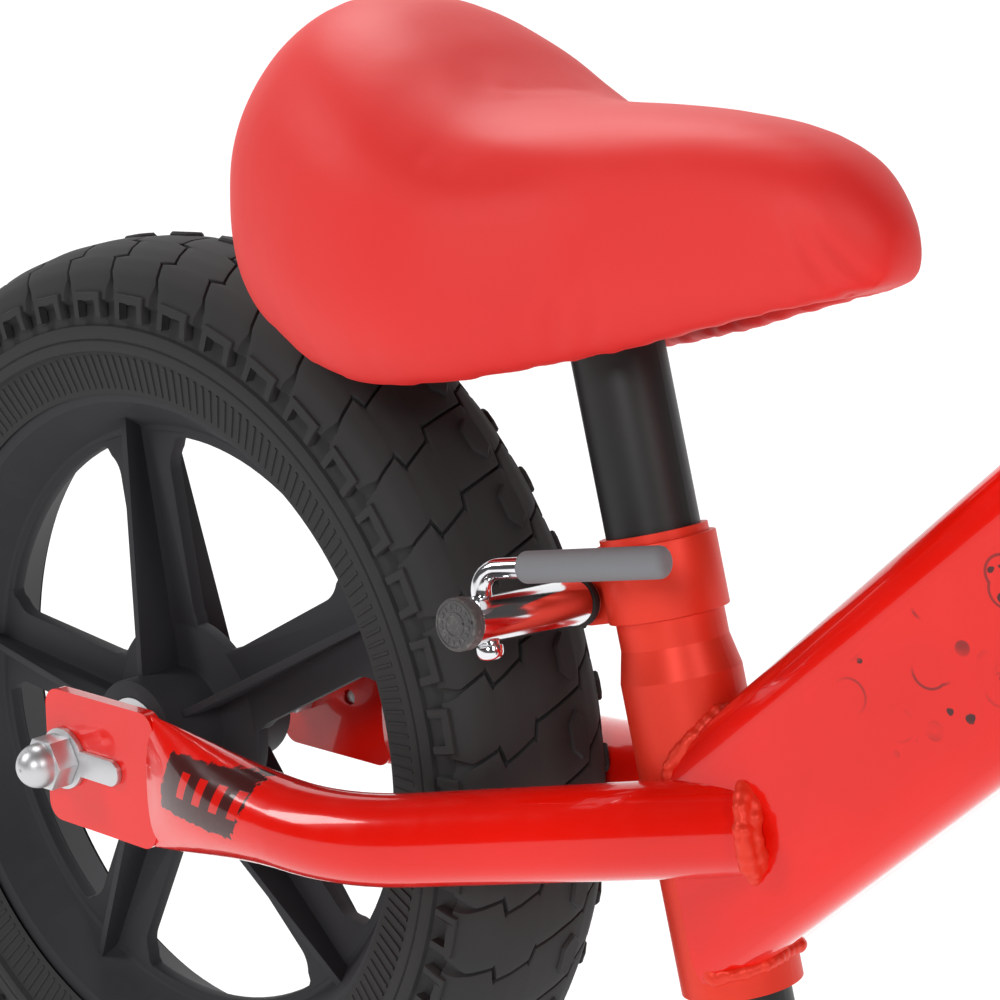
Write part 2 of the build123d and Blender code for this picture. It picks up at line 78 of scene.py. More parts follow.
MM = 0.001
CENTRE_Y = 0.0


# ------------------------------------------------------------------ places read from the frame
def middle(node):
    low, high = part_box(node)
    return (low + high) / 2


def joint(name):
    return next(j for j in frame["joints"] if j["name"] == name)


REAR_AXLE = middle("rear_tyre")
FRONT_AXLE = middle("front_tyre")
TYRE_RADIUS = (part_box("rear_tyre")[1].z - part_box("rear_tyre")[0].z) / 2
SEAT_AXIS = Vector(joint("seat_height")["axis"]).normalized()
STEER_AXIS = Vector(joint("steering")["axis"]).normalized()
STEER_POINT = Vector(joint("steering")["pos_m"])
CAM_POINT = Vector(joint("lever_swing")["pos_m"])
CAM_AXIS = -Vector(joint("lever_swing")["axis"]).normalized()


# ------------------------------------------------------------------ settings a user may change
class TyreSettings(bpy.types.PropertyGroup):
    lugs: bpy.props.IntProperty(name="Lugs", description="Tread blocks round the tyre", default=44, min=12)
    groove: bpy.props.FloatProperty(name="Groove", description="Depth of the tread grooves",
                                    default=1.5 * MM, unit="LENGTH")
    knurls: bpy.props.IntProperty(name="Fine ribs", description="Fine ribs round each bead", default=220)
    tint: bpy.props.FloatVectorProperty(name="Foam colour", description="Colour of the foam", size=3,
                                        default=(0.006, 0.006, 0.0078), subtype="COLOR", min=0, max=1)


class SaddleSettings(bpy.types.PropertyGroup):
    pressure: bpy.props.FloatProperty(name="Fill pressure", description="Pressure of the filling",
                                      default=1.5)
    swell: bpy.props.FloatProperty(name="Most swell", description="Furthest a point of the cover may move",
                                   default=1.0 * MM, unit="LENGTH")
    twill: bpy.props.FloatProperty(name="Twill pitch", description="Distance between the cover's ribs",
                                   default=1.05 * MM, unit="LENGTH")
    tint: bpy.props.FloatVectorProperty(name="Cover colour", description="Colour of the vinyl", size=3,
                                        default=(0.93, 0.003, 0.003), subtype="COLOR", min=0, max=1)


class PaintSettings(bpy.types.PropertyGroup):
    tint: bpy.props.FloatVectorProperty(name="Frame colour", description="Colour of the frame paint", size=3,
                                        default=(0.88, 0.007, 0.0015), subtype="COLOR", min=0, max=1)
    bead: bpy.props.FloatProperty(name="Weld bead", description="Radius of one drop of the weld beads",
                                  default=2.1 * MM, unit="LENGTH")
    step: bpy.props.FloatProperty(name="Weld step", description="Distance between drops",
                                  default=2.3 * MM, unit="LENGTH")


class StageSettings(bpy.types.PropertyGroup):
    lens: bpy.props.FloatProperty(name="Lens", description="Focal length of the camera in millimetres",
                                  default=75.5)
    floor: bpy.props.FloatVectorProperty(name="Floor colour", description="Colour of the floor", size=3,
                                         default=(0.12, 0.12, 0.12), subtype="COLOR", min=0, max=1)


# ------------------------------------------------------------------ shader maths
class Value:
    """A number in a shader: arithmetic on it adds the Math nodes."""

    def __init__(self, finish, socket):
        self.finish = finish
        self.socket = socket

    def __add__(self, other):
        return self.finish.maths("ADD", self, other)

    def __sub__(self, other):
        return self.finish.maths("SUBTRACT", self, other)

    def __rsub__(self, other):
        return self.finish.maths("SUBTRACT", other, self)

    def __mul__(self, other):
        return self.finish.maths("MULTIPLY", self, other)

    def __truediv__(self, other):
        return self.finish.maths("DIVIDE", self, other)

    def __pow__(self, other):
        return self.finish.maths("POWER", self, other)

    __radd__ = __add__
    __rmul__ = __mul__

    def sine(self):
        return self.finish.maths("SINE", self)

    def size(self):
        return self.finish.maths("ABSOLUTE", self)

    def at_least(self, other):
        return self.finish.maths("MAXIMUM", self, other)

    def at_most(self, other):
        return self.finish.maths("MINIMUM", self, other)

    def fade(self, low, high):
        """0 below low and 1 above high, smooth between."""
        step = {"interpolation_type": "SMOOTHSTEP"}
        made = self.finish.node("ShaderNodeMapRange", step,
                                {"Value": self, "From Min": low, "From Max": high})
        return Value(self.finish, made.outputs["Result"])


class Finish:
    """A material being made: its node tree and its main shader."""

    def __init__(self, name, **constants):
        self.material = bpy.data.materials.new(name)
        self.material.use_nodes = True
        self.tree = self.material.node_tree
        self.shader = self.tree.nodes["Principled BSDF"]
        for label, value in constants.items():
            self.shader.inputs[label.replace("_", " ")].default_value = value

    def node(self, kind, settings=None, inputs=None):
        """Any node: its settings first, then the values or links of its sockets."""
        made = self.tree.nodes.new(kind)
        for label, value in (settings or {}).items():
            if label == "stops":
                self.set_stops(made.color_ramp, value)
            else:
                setattr(made, label, value)
        for label, value in (inputs or {}).items():
            self.feed(made.inputs[label], value)
        return made

    def set_stops(self, ramp, stops):
        while len(ramp.elements) < len(stops):
            ramp.elements.new(0.5)
        for element, (place, colour) in zip(ramp.elements, stops):
            element.position = place
            element.color = (*colour, 1.0)

    def feed(self, socket, value):
        if isinstance(value, Value):
            self.tree.links.new(value.socket, socket)
        elif isinstance(value, bpy.types.NodeSocket):
            self.tree.links.new(value, socket)
        elif isinstance(value, (tuple, list)) and socket.type == "RGBA" and len(value) == 3:
            socket.default_value = (*value, 1.0)
        else:
            socket.default_value = value

    def maths(self, kind, *values):
        made = self.node("ShaderNodeMath", {"operation": kind})
        for socket, value in zip(made.inputs, values):
            self.feed(socket, value)
        return Value(self, made.outputs[0])

    def place(self):
        return self.node("ShaderNodeTexCoord").outputs["Object"]

    def axes(self, vector=None):
        """The three object coordinates in millimetres."""
        parts = self.node("ShaderNodeSeparateXYZ", None, {0: vector or self.place()})
        return [Value(self, parts.outputs[i]) / MM for i in range(3)]

    def scaled(self, factors):
        """Object coordinates stretched by a factor on each axis."""
        made = self.node("ShaderNodeMapping", None, {"Vector": self.place(), "Scale": factors})
        return made.outputs["Vector"]

    def cloud(self, scale, detail=3.0, roughness=0.5, vector=None):
        """Smooth noise with scale in patches per metre."""
        made = self.node("ShaderNodeTexNoise", None,
                         {"Vector": vector or self.place(), "Scale": scale, "Detail": detail,
                          "Roughness": roughness})
        return Value(self, made.outputs["Fac"])

    def cells(self, scale, feature="F1", vector=None):
        made = self.node("ShaderNodeTexVoronoi", {"feature": feature},
                         {"Vector": vector or self.place(), "Scale": scale})
        return Value(self, made.outputs["Distance"])

    def mixed(self, factor, first, second):
        made = self.node("ShaderNodeMix", {"data_type": "RGBA"})
        for index, value in ((0, factor), (6, first), (7, second)):
            self.feed(made.inputs[index], value)
        return made.outputs[2]

    def edge_wear(self, low, high):
        """1 on worn outer edges, from the surface's own curvature."""
        made = self.node("ShaderNodeNewGeometry")
        return Value(self, made.outputs["Pointiness"]).fade(low, high)

    def relief(self, height, depth, under=None):
        """Bump of a height that goes from 0 to 1, depth in metres."""
        inputs = {"Height": height, "Distance": depth, "Strength": 1.0}
        if under:
            inputs["Normal"] = under
        return self.node("ShaderNodeBump", None, inputs).outputs["Normal"]

    def give(self, **sockets):
        for label, value in sockets.items():
            self.feed(self.shader.inputs[label.replace("_", " ")], value)
        return self.material


# ------------------------------------------------------------------ materials
GLOSS = {"Coat_Roughness": 0.04, "Coat_IOR": 1.36, "Specular_IOR_Level": 0.22}


def frame_paint():
    tint = bpy.context.scene.bike_paint.tint
    paint = Finish("frame_paint", **GLOSS)
    peel = paint.cloud(420.0, 2.0)
    flow = paint.cloud(55.0, 2.0)
    dust = paint.cloud(2600.0, 1.0).fade(0.72, 0.78)
    shade = paint.cloud(14.0, 3.0).fade(0.3, 0.7)
    deep = tuple(c * 0.86 for c in tint)
    colour = paint.mixed(shade, deep, tuple(tint))
    colour = paint.mixed(dust * 0.25, colour, (0.9, 0.45, 0.35))
    rough = 0.17 + 0.08 * paint.cloud(160.0, 4.0).fade(0.35, 0.75) + 0.2 * dust
    normal = paint.relief(flow * 0.9 + peel * 0.1, 0.08 * MM)
    return paint.give(Base_Color=colour, Roughness=rough, Coat_Weight=1.0 - 0.5 * dust, Normal=normal)


def stripe_mask(finish, x, z, slope, low, high, gap):
    """Slanted bars between two heights, for a plain decal."""
    along = x - z * slope
    bars = (along * (2 * math.pi / gap)).sine().fade(0.05, 0.2)
    return bars * z.fade(low, low + 0.3) * (1.0 - z.fade(high - 0.3, high))


def stay_paint():
    """Frame paint with a plain dark brush-stroke decal on the outer side of the stay."""
    tint = bpy.context.scene.bike_paint.tint
    paint = Finish("stay_paint", **GLOSS)
    x, y, z = paint.axes()
    along = x - REAR_AXLE.x / MM
    up = z - REAR_AXLE.z / MM
    torn = paint.cloud(420.0, 4.0) * 5.0
    slant = along - up * 0.3
    patch = (slant + torn).fade(45.0, 45.6) * (1.0 - (slant + torn * 1.4).fade(79.0, 79.6))
    band = (up + torn * 0.5).fade(-2.4, -2.0) * (1.0 - (up + torn * 0.45).fade(13.0, 13.4))
    bars = ((slant * (2 * math.pi / 7.2)).sine()).fade(0.1, 0.2)
    inner = up.fade(1.6, 1.9) * (1.0 - up.fade(8.4, 8.7)) * slant.fade(50.0, 50.3) * (1.0 - slant.fade(76.0, 76.3))
    ink = patch * band * (1.0 - bars * inner * 0.85) * (1.0 - y.fade(-44.0, -43.0))
    shade = paint.cloud(14.0, 3.0).fade(0.3, 0.7)
    colour = paint.mixed(shade, tuple(c * 0.86 for c in tint), tuple(tint))
    colour = paint.mixed(ink * 0.96, colour, (0.03, 0.012, 0.012))
    rough = 0.17 + 0.08 * paint.cloud(160.0, 4.0).fade(0.35, 0.75)
    normal = paint.relief(paint.cloud(55.0, 2.0) * 0.9 + paint.cloud(420.0, 2.0) * 0.1 + ink * 0.3, 0.08 * MM)
    return paint.give(Base_Color=colour, Roughness=rough, Coat_Weight=1.0 - 0.2 * ink, Normal=normal)


def main_tube_paint():
    """Frame paint with a plain scatter of small round blots on the tube's flat sides."""
    tint = bpy.context.scene.bike_paint.tint
    paint = Finish("main_tube_paint", **GLOSS)
    x, y, z = paint.axes()
    start = middle("main_tube") / MM
    slope = math.radians(44.0)
    along = (x - start.x) * math.cos(slope) + (z - start.z) * math.sin(slope)
    across = (z - start.z) * math.cos(slope) - (x - start.x) * math.sin(slope)
    flat = paint.node("ShaderNodeCombineXYZ", None, {"X": along, "Y": across}).outputs[0]
    wobble = paint.cloud(0.35, 2.0, 0.5, flat) * 1.4
    spots = paint.cells(0.16, "F1", flat) + wobble * 0.22
    blots = 1.0 - spots.fade(0.30, 0.33)
    rings = 1.0 - (paint.cells(0.085, "F1", flat) - 0.34).size().fade(0.018, 0.03)
    side = (y.size()).fade(15.5, 16.2)
    field = along.fade(-92.0, -84.0) * (1.0 - along.fade(70.0, 80.0))
    field = field * across.fade(-13.0, -11.0) * (1.0 - across.fade(13.0, 15.0))
    sparse = paint.cloud(0.05, 1.0, 0.5, flat).fade(0.46, 0.54)
    ink = blots.at_least(rings * 0.7) * side * field * sparse
    shade = paint.cloud(14.0, 3.0).fade(0.3, 0.7)
    colour = paint.mixed(shade, tuple(c * 0.86 for c in tint), tuple(tint))
    colour = paint.mixed(ink * 0.95, colour, (0.035, 0.01, 0.01))
    rough = 0.17 + 0.08 * paint.cloud(160.0, 4.0).fade(0.35, 0.75)
    normal = paint.relief(paint.cloud(55.0, 2.0) * 0.9 + paint.cloud(420.0, 2.0) * 0.1, 0.08 * MM)
    return paint.give(Base_Color=colour, Roughness=rough, Coat_Weight=1.0 - 0.2 * ink, Normal=normal)


def black_enamel():
    """Black lacquer on the sliding posts, with fine rubbed lines along the tube."""
    lacquer = Finish("black_enamel", Coat_Roughness=0.12, Specular_IOR_Level=0.12, Coat_IOR=1.3)
    grain = lacquer.cloud(900.0, 3.0)
    rubbed = lacquer.cloud(70.0, 5.0, 0.7, lacquer.scaled((22.0, 22.0, 1.0))).fade(0.62, 0.72)
    colour = lacquer.mixed(rubbed * 0.35, (0.0035, 0.0035, 0.0045), (0.03, 0.03, 0.034))
    rough = 0.32 + 0.12 * grain + 0.12 * rubbed
    normal = lacquer.relief(grain, 0.03 * MM)
    return lacquer.give(Base_Color=colour, Roughness=rough, Coat_Weight=0.25 + 0.0 * grain, Normal=normal)


def zinc_plate():
    """Bright zinc on nuts, washers and axles."""
    plate = Finish("zinc_plate", Metallic=1.0)
    cloudy = plate.cloud(260.0, 4.0)
    streaks = plate.cloud(500.0, 3.0, 0.6, plate.scaled((1.0, 9.0, 1.0)))
    colour = plate.mixed(cloudy.fade(0.35, 0.7), (0.33, 0.34, 0.37), (0.58, 0.59, 0.61))
    worn = plate.edge_wear(0.52, 0.6)
    colour = plate.mixed(worn * 0.5, colour, (0.85, 0.85, 0.84))
    rough = 0.20 + 0.22 * cloudy + 0.05 * streaks
    return plate.give(Base_Color=colour, Roughness=rough, Normal=plate.relief(streaks, 0.03 * MM))


def chrome_plate():
    """Mirror chrome with faint haze and small pits."""
    plate = Finish("chrome_plate", Metallic=1.0)
    haze = plate.cloud(300.0, 4.0).fade(0.45, 0.75)
    pits = plate.cloud(2400.0, 1.0).fade(0.70, 0.76)
    colour = plate.mixed(haze, (0.86, 0.86, 0.87), (0.70, 0.70, 0.72))
    colour = plate.mixed(pits * 0.5, colour, (0.25, 0.22, 0.2))
    rough = 0.055 + 0.10 * haze + 0.3 * pits
    return plate.give(Base_Color=colour, Roughness=rough, Normal=plate.relief(plate.cloud(180.0, 2.0), 0.05 * MM))


def wheel_plastic():
    """Black moulded plastic with a fine spark-eroded grain."""
    plastic = Finish("wheel_plastic", Specular_IOR_Level=0.12)
    grain = plastic.cells(1500.0) * 0.6 + plastic.cloud(2200.0, 2.0) * 0.4
    broad = plastic.cloud(30.0, 4.0).fade(0.35, 0.7)
    dust = plastic.cloud(120.0, 5.0, 0.65).fade(0.55, 0.75)
    colour = plastic.mixed(broad, (0.0045, 0.0045, 0.006), (0.0085, 0.0085, 0.0105))
    colour = plastic.mixed(dust * 0.12, colour, (0.05, 0.048, 0.048))
    worn = plastic.edge_wear(0.53, 0.6)
    colour = plastic.mixed(worn * 0.4, colour, (0.06, 0.06, 0.062))
    rough = 0.46 + 0.16 * grain + 0.08 * dust
    return plastic.give(Base_Color=colour, Roughness=rough, Normal=plastic.relief(grain, 0.035 * MM))


def foam_tyre():
    """Smooth skin of black foam, greyer where it is rubbed."""
    tint = tuple(bpy.context.scene.bike_tyre.tint)
    foam = Finish("foam_tyre", Specular_IOR_Level=0.2)
    skin = foam.cloud(700.0, 4.0, 0.6)
    broad = foam.cloud(45.0, 4.0).fade(0.3, 0.75)
    dusty = foam.cloud(150.0, 5.0, 0.7).fade(0.5, 0.8)
    worn = foam.edge_wear(0.515, 0.57)
    colour = foam.mixed(broad, tint, tuple(c * 1.7 for c in tint))
    colour = foam.mixed(dusty * 0.14, colour, (0.06, 0.057, 0.056))
    colour = foam.mixed(worn * 0.35, colour, (0.09, 0.085, 0.085))
    rough = 0.27 + 0.14 * skin + 0.14 * dusty
    pores = foam.cells(2600.0).fade(0.05, 0.4)
    normal = foam.relief(skin * 0.7 + pores * 0.3, 0.07 * MM)
    return foam.give(Base_Color=colour, Roughness=rough, Normal=normal)


def black_rubber():
    rubber = Finish("black_rubber", Specular_IOR_Level=0.2)
    grain = rubber.cloud(1400.0, 3.0)
    dusty = rubber.cloud(160.0, 4.0).fade(0.5, 0.8)
    colour = rubber.mixed(dusty * 0.5, (0.012, 0.012, 0.012), (0.04, 0.038, 0.036))
    return rubber.give(Base_Color=colour, Roughness=0.5 + 0.2 * grain, Normal=rubber.relief(grain, 0.05 * MM))


def grey_plastic():
    """Soft grey vinyl of the lever sleeve and end cap, a little clear."""
    vinyl = Finish("grey_plastic", Subsurface_Weight=0.25, Subsurface_Scale=2.0 * MM)
    grain = vinyl.cloud(1500.0, 3.0)
    broad = vinyl.cloud(120.0, 3.0).fade(0.3, 0.7)
    grime = vinyl.cloud(500.0, 4.0, 0.7).fade(0.58, 0.75)
    colour = vinyl.mixed(broad, (0.155, 0.157, 0.165), (0.225, 0.228, 0.235))
    colour = vinyl.mixed(grime * 0.35, colour, (0.07, 0.068, 0.065))
    return vinyl.give(Base_Color=colour, Roughness=0.33 + 0.15 * grain, Normal=vinyl.relief(grain, 0.04 * MM))


def cap_plastic():
    """Dark grey moulded cap, rougher and dustier than the sleeve."""
    plastic = Finish("cap_plastic")
    grain = plastic.cloud(1800.0, 4.0)
    grime = plastic.cloud(700.0, 4.0, 0.7).fade(0.5, 0.7)
    colour = plastic.mixed(grime, (0.075, 0.073, 0.072), (0.16, 0.15, 0.145))
    return plastic.give(Base_Color=colour, Roughness=0.5 + 0.2 * grain, Normal=plastic.relief(grain, 0.08 * MM))


def saddle_vinyl():
    """Red coated cloth: twill ribs pressed through a glossy skin, with painted shade darkening the grooves between
    the ribs.
    """
    settings = bpy.context.scene.bike_saddle
    tint = tuple(settings.tint)
    vinyl = Finish("saddle_vinyl", Specular_IOR_Level=0.12, Coat_Roughness=0.2, Coat_IOR=1.35)
    x, y, z = vinyl.axes()
    pitch = settings.twill / MM
    drift = vinyl.cloud(60.0, 2.0) * 2.2 + vinyl.cloud(900.0, 2.0) * 0.08
    ribs = ((x + z * 0.16 + y * 0.10 + drift) * (2 * math.pi / pitch)).sine() * 0.5 + 0.5
    cross = ((y * 0.7 + z * 0.7 - x * 0.35 + drift) * (2 * math.pi / (pitch * 1.25))).sine() * 0.5 + 0.5
    grain = vinyl.cloud(1300.0, 3.0, 0.6)
    creases = vinyl.cells(260.0, "DISTANCE_TO_EDGE").fade(0.0, 0.09)
    stretch = vinyl.cloud(40.0, 3.0).fade(0.35, 0.65)
    weave = ribs * 0.55 + cross * 0.12 * stretch + grain * 0.3 + creases * 0.06
    broad = vinyl.cloud(16.0, 3.0).fade(0.3, 0.7)
    colour = vinyl.mixed(broad, tuple(c * 0.9 for c in tint), tint)
    # painted shade: the colour is darkened in the grooves between the twill ribs, where the relief's shade falls
    colour = vinyl.mixed((1.0 - ribs) * 0.32, colour, tuple(c * 0.55 for c in tint))
    rough = 0.27 + 0.14 * grain + 0.08 * vinyl.cloud(220.0, 3.0).fade(0.4, 0.7)
    return vinyl.give(Base_Color=colour, Roughness=rough, Coat_Weight=0.12 * stretch, Normal=vinyl.relief(weave, 0.26 * MM))


def black_plastic():
    plastic = Finish("black_plastic", Specular_IOR_Level=0.2)
    grain = plastic.cloud(1600.0, 3.0)
    scuff = plastic.cloud(240.0, 5.0, 0.7).fade(0.55, 0.72)
    colour = plastic.mixed(scuff * 0.4, (0.014, 0.014, 0.015), (0.06, 0.06, 0.06))
    return plastic.give(Base_Color=colour, Roughness=0.42 + 0.2 * grain, Normal=plastic.relief(grain, 0.05 * MM))


MAKERS = {maker.__name__: maker for maker in (
    frame_paint, stay_paint, main_tube_paint, black_enamel, zinc_plate, chrome_plate, wheel_plastic,
    foam_tyre, black_rubber, grey_plastic, cap_plastic, saddle_vinyl, black_plastic)}


def finish(name):
    return bpy.data.materials.get(name) or MAKERS[name]()


# ------------------------------------------------------------------ meshes
def new_piece(name, points, faces):
    mesh = bpy.data.meshes.new(name)
    mesh.from_pydata([tuple(p) for p in points], [], faces)
    mesh.validate()
    piece = bpy.data.objects.new(name, mesh)
    bpy.context.scene.collection.objects.link(piece)
    return piece


def skin(rings, closed=True, capped=True):
    """Points and faces of a surface through rings of equal counts; closed joins each ring's ends."""
    count = len(rings[0])
    points = [p for ring in rings for p in ring]
    faces = []
    for i in range(len(rings) - 1):
        for j in range(count if closed else count - 1):
            k = (j + 1) % count
            faces.append((i * count + j, i * count + k, (i + 1) * count + k, (i + 1) * count + j))
    if capped:
        faces.append(tuple(range(count))[::-1])
        faces.append(tuple((len(rings) - 1) * count + j for j in range(count)))
    return points, faces


def turned_about_y(profile, centre, steps):
    """A closed profile of (radius, y) turned round the y axis through centre."""
    count = len(profile)
    points, faces = [], []
    for i in range(steps):
        a = 2 * math.pi * i / steps
        for radius, y in profile:
            points.append(centre + Vector((radius * math.cos(a), y, radius * math.sin(a))))
    for i in range(steps):
        n = (i + 1) % steps
        for j in range(count):
            k = (j + 1) % count
            faces.append((i * count + j, i * count + k, n * count + k, n * count + j))
    return points, faces


def face_out(piece):
    """Merge doubles and point every face outwards."""
    work = bmesh.new()
    work.from_mesh(piece.data)
    bmesh.ops.remove_doubles(work, verts=work.verts, dist=1e-6)
    bmesh.ops.recalc_face_normals(work, faces=work.faces)
    work.to_mesh(piece.data)
    work.free()
    return piece


def shade(piece, angle=34.0):
    """Smooth shading, with edges sharper than angle kept crisp."""
    work = bmesh.new()
    work.from_mesh(piece.data)
    limit = math.radians(angle)
    for face in work.faces:
        face.smooth = True
    for edge in work.edges:
        edge.smooth = not (len(edge.link_faces) == 2 and edge.calc_face_angle() > limit)
    work.to_mesh(piece.data)
    work.free()
    return piece


def settled(piece):
    """The piece with its modifiers made part of its mesh."""
    bpy.context.view_layer.update()
    graph = bpy.context.evaluated_depsgraph_get()
    mesh = bpy.data.meshes.new_from_object(piece.evaluated_get(graph), depsgraph=graph)
    piece.modifiers.clear()
    piece.data = mesh
    return piece


def rounded_edges(piece, width, segments=2, angle=35.0):
    modifier = piece.modifiers.new("Rounded edges", "BEVEL")
    modifier.width = width
    modifier.segments = segments
    modifier.limit_method = "ANGLE"
    modifier.angle_limit = math.radians(angle)
    modifier.miter_outer = "MITER_ARC"
    return settled(piece)


def placed(piece, body, material, nodes=(), angle=34.0):
    """Finish a piece: shading, material, and the body it moves with."""
    shade(piece, angle)
    piece.data.materials.clear()
    piece.data.materials.append(finish(material))
    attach(piece, body)
    if nodes:
        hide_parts(*nodes)
    return piece


def copy_of(node, name):
    """A merged copy of a CAD node's mesh, to be worked on."""
    source = frame["nodes"][node]
    piece = bpy.data.objects.new(name, source.data.copy())
    bpy.context.scene.collection.objects.link(piece)
    work = bmesh.new()
    work.from_mesh(piece.data)
    bmesh.ops.remove_doubles(work, verts=work.verts, dist=2e-6)
    bmesh.ops.dissolve_limit(work, angle_limit=math.radians(0.6), verts=work.verts, edges=work.edges)
    work.to_mesh(piece.data)
    work.free()
    return piece


def softened(node, width, material, angle=35.0):
    """A CAD node again, with its sharp edges rounded as moulding, pressing or paint leaves them."""
    piece = rounded_edges(copy_of(node, node + "_soft"), width, 2, angle)
    body = frame["nodes"][node]["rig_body"]
    return placed(piece, body, material, (node,), 30.0)


def wheel_moulding(end):
    """The wheel's ring, hub and spokes, edges rounded; the spokes' ends run into ring and hub."""
    axle = REAR_AXLE if end == "rear" else FRONT_AXLE
    softened(end + "_rim", 0.7 * MM, "wheel_plastic")
    softened(end + "_hub", 0.7 * MM, "wheel_plastic")
    spokes = copy_of(end + "_spokes", end + "_spokes_soft")
    web_middle = -1.5 * MM
    for vertex in spokes.data.vertices:
        arm = vertex.co - axle
        flat = Vector((arm.x, 0, arm.z))
        grow = 1.5 * MM if flat.length > 79.0 * MM else -1.5 * MM if flat.length < 31.5 * MM else 0.0
        vertex.co += flat.normalized() * grow
        vertex.co.y += math.copysign(0.03 * MM, arm.y - web_middle)
    rounded_edges(spokes, 0.7 * MM)
    return placed(spokes, end + "_wheel", "wheel_plastic", nodes=(end + "_spokes",), angle=30.0)


# ------------------------------------------------------------------ node trees that repeat a shape
def ring_tree():
    """Repeats the incoming mesh evenly round the y axis through the axle."""
    tree = bpy.data.node_groups.get("Round the axle")
    if tree:
        return tree
    tree = bpy.data.node_groups.new("Round the axle", "GeometryNodeTree")
    add = tree.interface.new_socket
    add(name="Cell", in_out="INPUT", socket_type="NodeSocketGeometry")
    add(name="Count", in_out="INPUT", socket_type="NodeSocketInt")
    add(name="Axle", in_out="INPUT", socket_type="NodeSocketVector")
    add(name="Finish", in_out="INPUT", socket_type="NodeSocketMaterial")
    add(name="Ring", in_out="OUTPUT", socket_type="NodeSocketGeometry")
    nodes, link = tree.nodes, tree.links.new
    start, end = nodes.new("NodeGroupInput"), nodes.new("NodeGroupOutput")
    back = nodes.new("ShaderNodeVectorMath")
    back.operation = "SCALE"
    back.inputs["Scale"].default_value = -1.0
    link(start.outputs["Axle"], back.inputs[0])
    centred = nodes.new("GeometryNodeTransform")
    link(start.outputs["Cell"], centred.inputs["Geometry"])
    link(back.outputs[0], centred.inputs["Translation"])
    points = nodes.new("GeometryNodePoints")
    link(start.outputs["Count"], points.inputs["Count"])
    index = nodes.new("GeometryNodeInputIndex")
    share = nodes.new("ShaderNodeMath")
    share.operation = "DIVIDE"
    link(index.outputs[0], share.inputs[0])
    link(start.outputs["Count"], share.inputs[1])
    turn = nodes.new("ShaderNodeMath")
    turn.operation = "MULTIPLY"
    turn.inputs[1].default_value = 2 * math.pi
    link(share.outputs[0], turn.inputs[0])
    angles = nodes.new("ShaderNodeCombineXYZ")
    link(turn.outputs[0], angles.inputs["Y"])
    repeat = nodes.new("GeometryNodeInstanceOnPoints")
    link(points.outputs[0], repeat.inputs["Points"])
    link(centred.outputs[0], repeat.inputs["Instance"])
    link(angles.outputs[0], repeat.inputs["Rotation"])
    real = nodes.new("GeometryNodeRealizeInstances")
    link(repeat.outputs[0], real.inputs[0])
    forth = nodes.new("GeometryNodeTransform")
    link(real.outputs[0], forth.inputs["Geometry"])
    link(start.outputs["Axle"], forth.inputs["Translation"])
    paint = nodes.new("GeometryNodeSetMaterial")
    link(forth.outputs[0], paint.inputs["Geometry"])
    link(start.outputs["Finish"], paint.inputs["Material"])
    link(paint.outputs[0], end.inputs[0])
    return tree


def bead_tree():
    """Drops of weld metal along the incoming line, each a little different."""
    tree = bpy.data.node_groups.get("Weld bead")
    if tree:
        return tree
    tree = bpy.data.node_groups.new("Weld bead", "GeometryNodeTree")
    add = tree.interface.new_socket
    add(name="Seam", in_out="INPUT", socket_type="NodeSocketGeometry")
    add(name="Step", in_out="INPUT", socket_type="NodeSocketFloat")
    add(name="Radius", in_out="INPUT", socket_type="NodeSocketFloat")
    add(name="Seed", in_out="INPUT", socket_type="NodeSocketInt")
    add(name="Finish", in_out="INPUT", socket_type="NodeSocketMaterial")
    add(name="Bead", in_out="OUTPUT", socket_type="NodeSocketGeometry")
    nodes, link = tree.nodes, tree.links.new
    start, end = nodes.new("NodeGroupInput"), nodes.new("NodeGroupOutput")
    curve = nodes.new("GeometryNodeMeshToCurve")
    link(start.outputs["Seam"], curve.inputs["Mesh"])
    even = nodes.new("GeometryNodeResampleCurve")
    even.mode = "LENGTH"
    link(curve.outputs[0], even.inputs["Curve"])
    link(start.outputs["Step"], even.inputs["Length"])
    drop = nodes.new("GeometryNodeMeshIcoSphere")
    drop.inputs["Subdivisions"].default_value = 2
    link(start.outputs["Radius"], drop.inputs["Radius"])
    vary = nodes.new("FunctionNodeRandomValue")
    vary.data_type = "FLOAT_VECTOR"
    vary.inputs["Min"].default_value = (0.8, 0.8, 0.8)
    vary.inputs["Max"].default_value = (1.25, 1.25, 1.25)
    link(start.outputs["Seed"], vary.inputs["Seed"])
    repeat = nodes.new("GeometryNodeInstanceOnPoints")
    link(even.outputs[0], repeat.inputs["Points"])
    link(drop.outputs["Mesh"], repeat.inputs["Instance"])
    link(vary.outputs[0], repeat.inputs["Scale"])
    real = nodes.new("GeometryNodeRealizeInstances")
    link(repeat.outputs[0], real.inputs[0])
    paint = nodes.new("GeometryNodeSetMaterial")
    link(real.outputs[0], paint.inputs["Geometry"])
    link(start.outputs["Finish"], paint.inputs["Material"])
    link(paint.outputs[0], end.inputs[0])
    return tree


def grown(piece, tree, **values):
    """The mesh that a tree makes from a piece, kept as the piece's own mesh."""
    modifier = piece.modifiers.new(tree.name, "NODES")
    modifier.node_group = tree
    for item in tree.interface.items_tree:
        if item.in_out == "INPUT" and item.name in values:
            modifier[item.identifier] = values[item.name]
    return settled(piece)


def joined(name, pieces):
    """One piece from several."""
    work = bmesh.new()
    for piece in pieces:
        work.from_mesh(piece.data)
        bpy.data.objects.remove(piece)
    mesh = bpy.data.meshes.new(name)
    work.to_mesh(mesh)
    work.free()
    result = bpy.data.objects.new(name, mesh)
    bpy.context.scene.collection.objects.link(result)
    return result


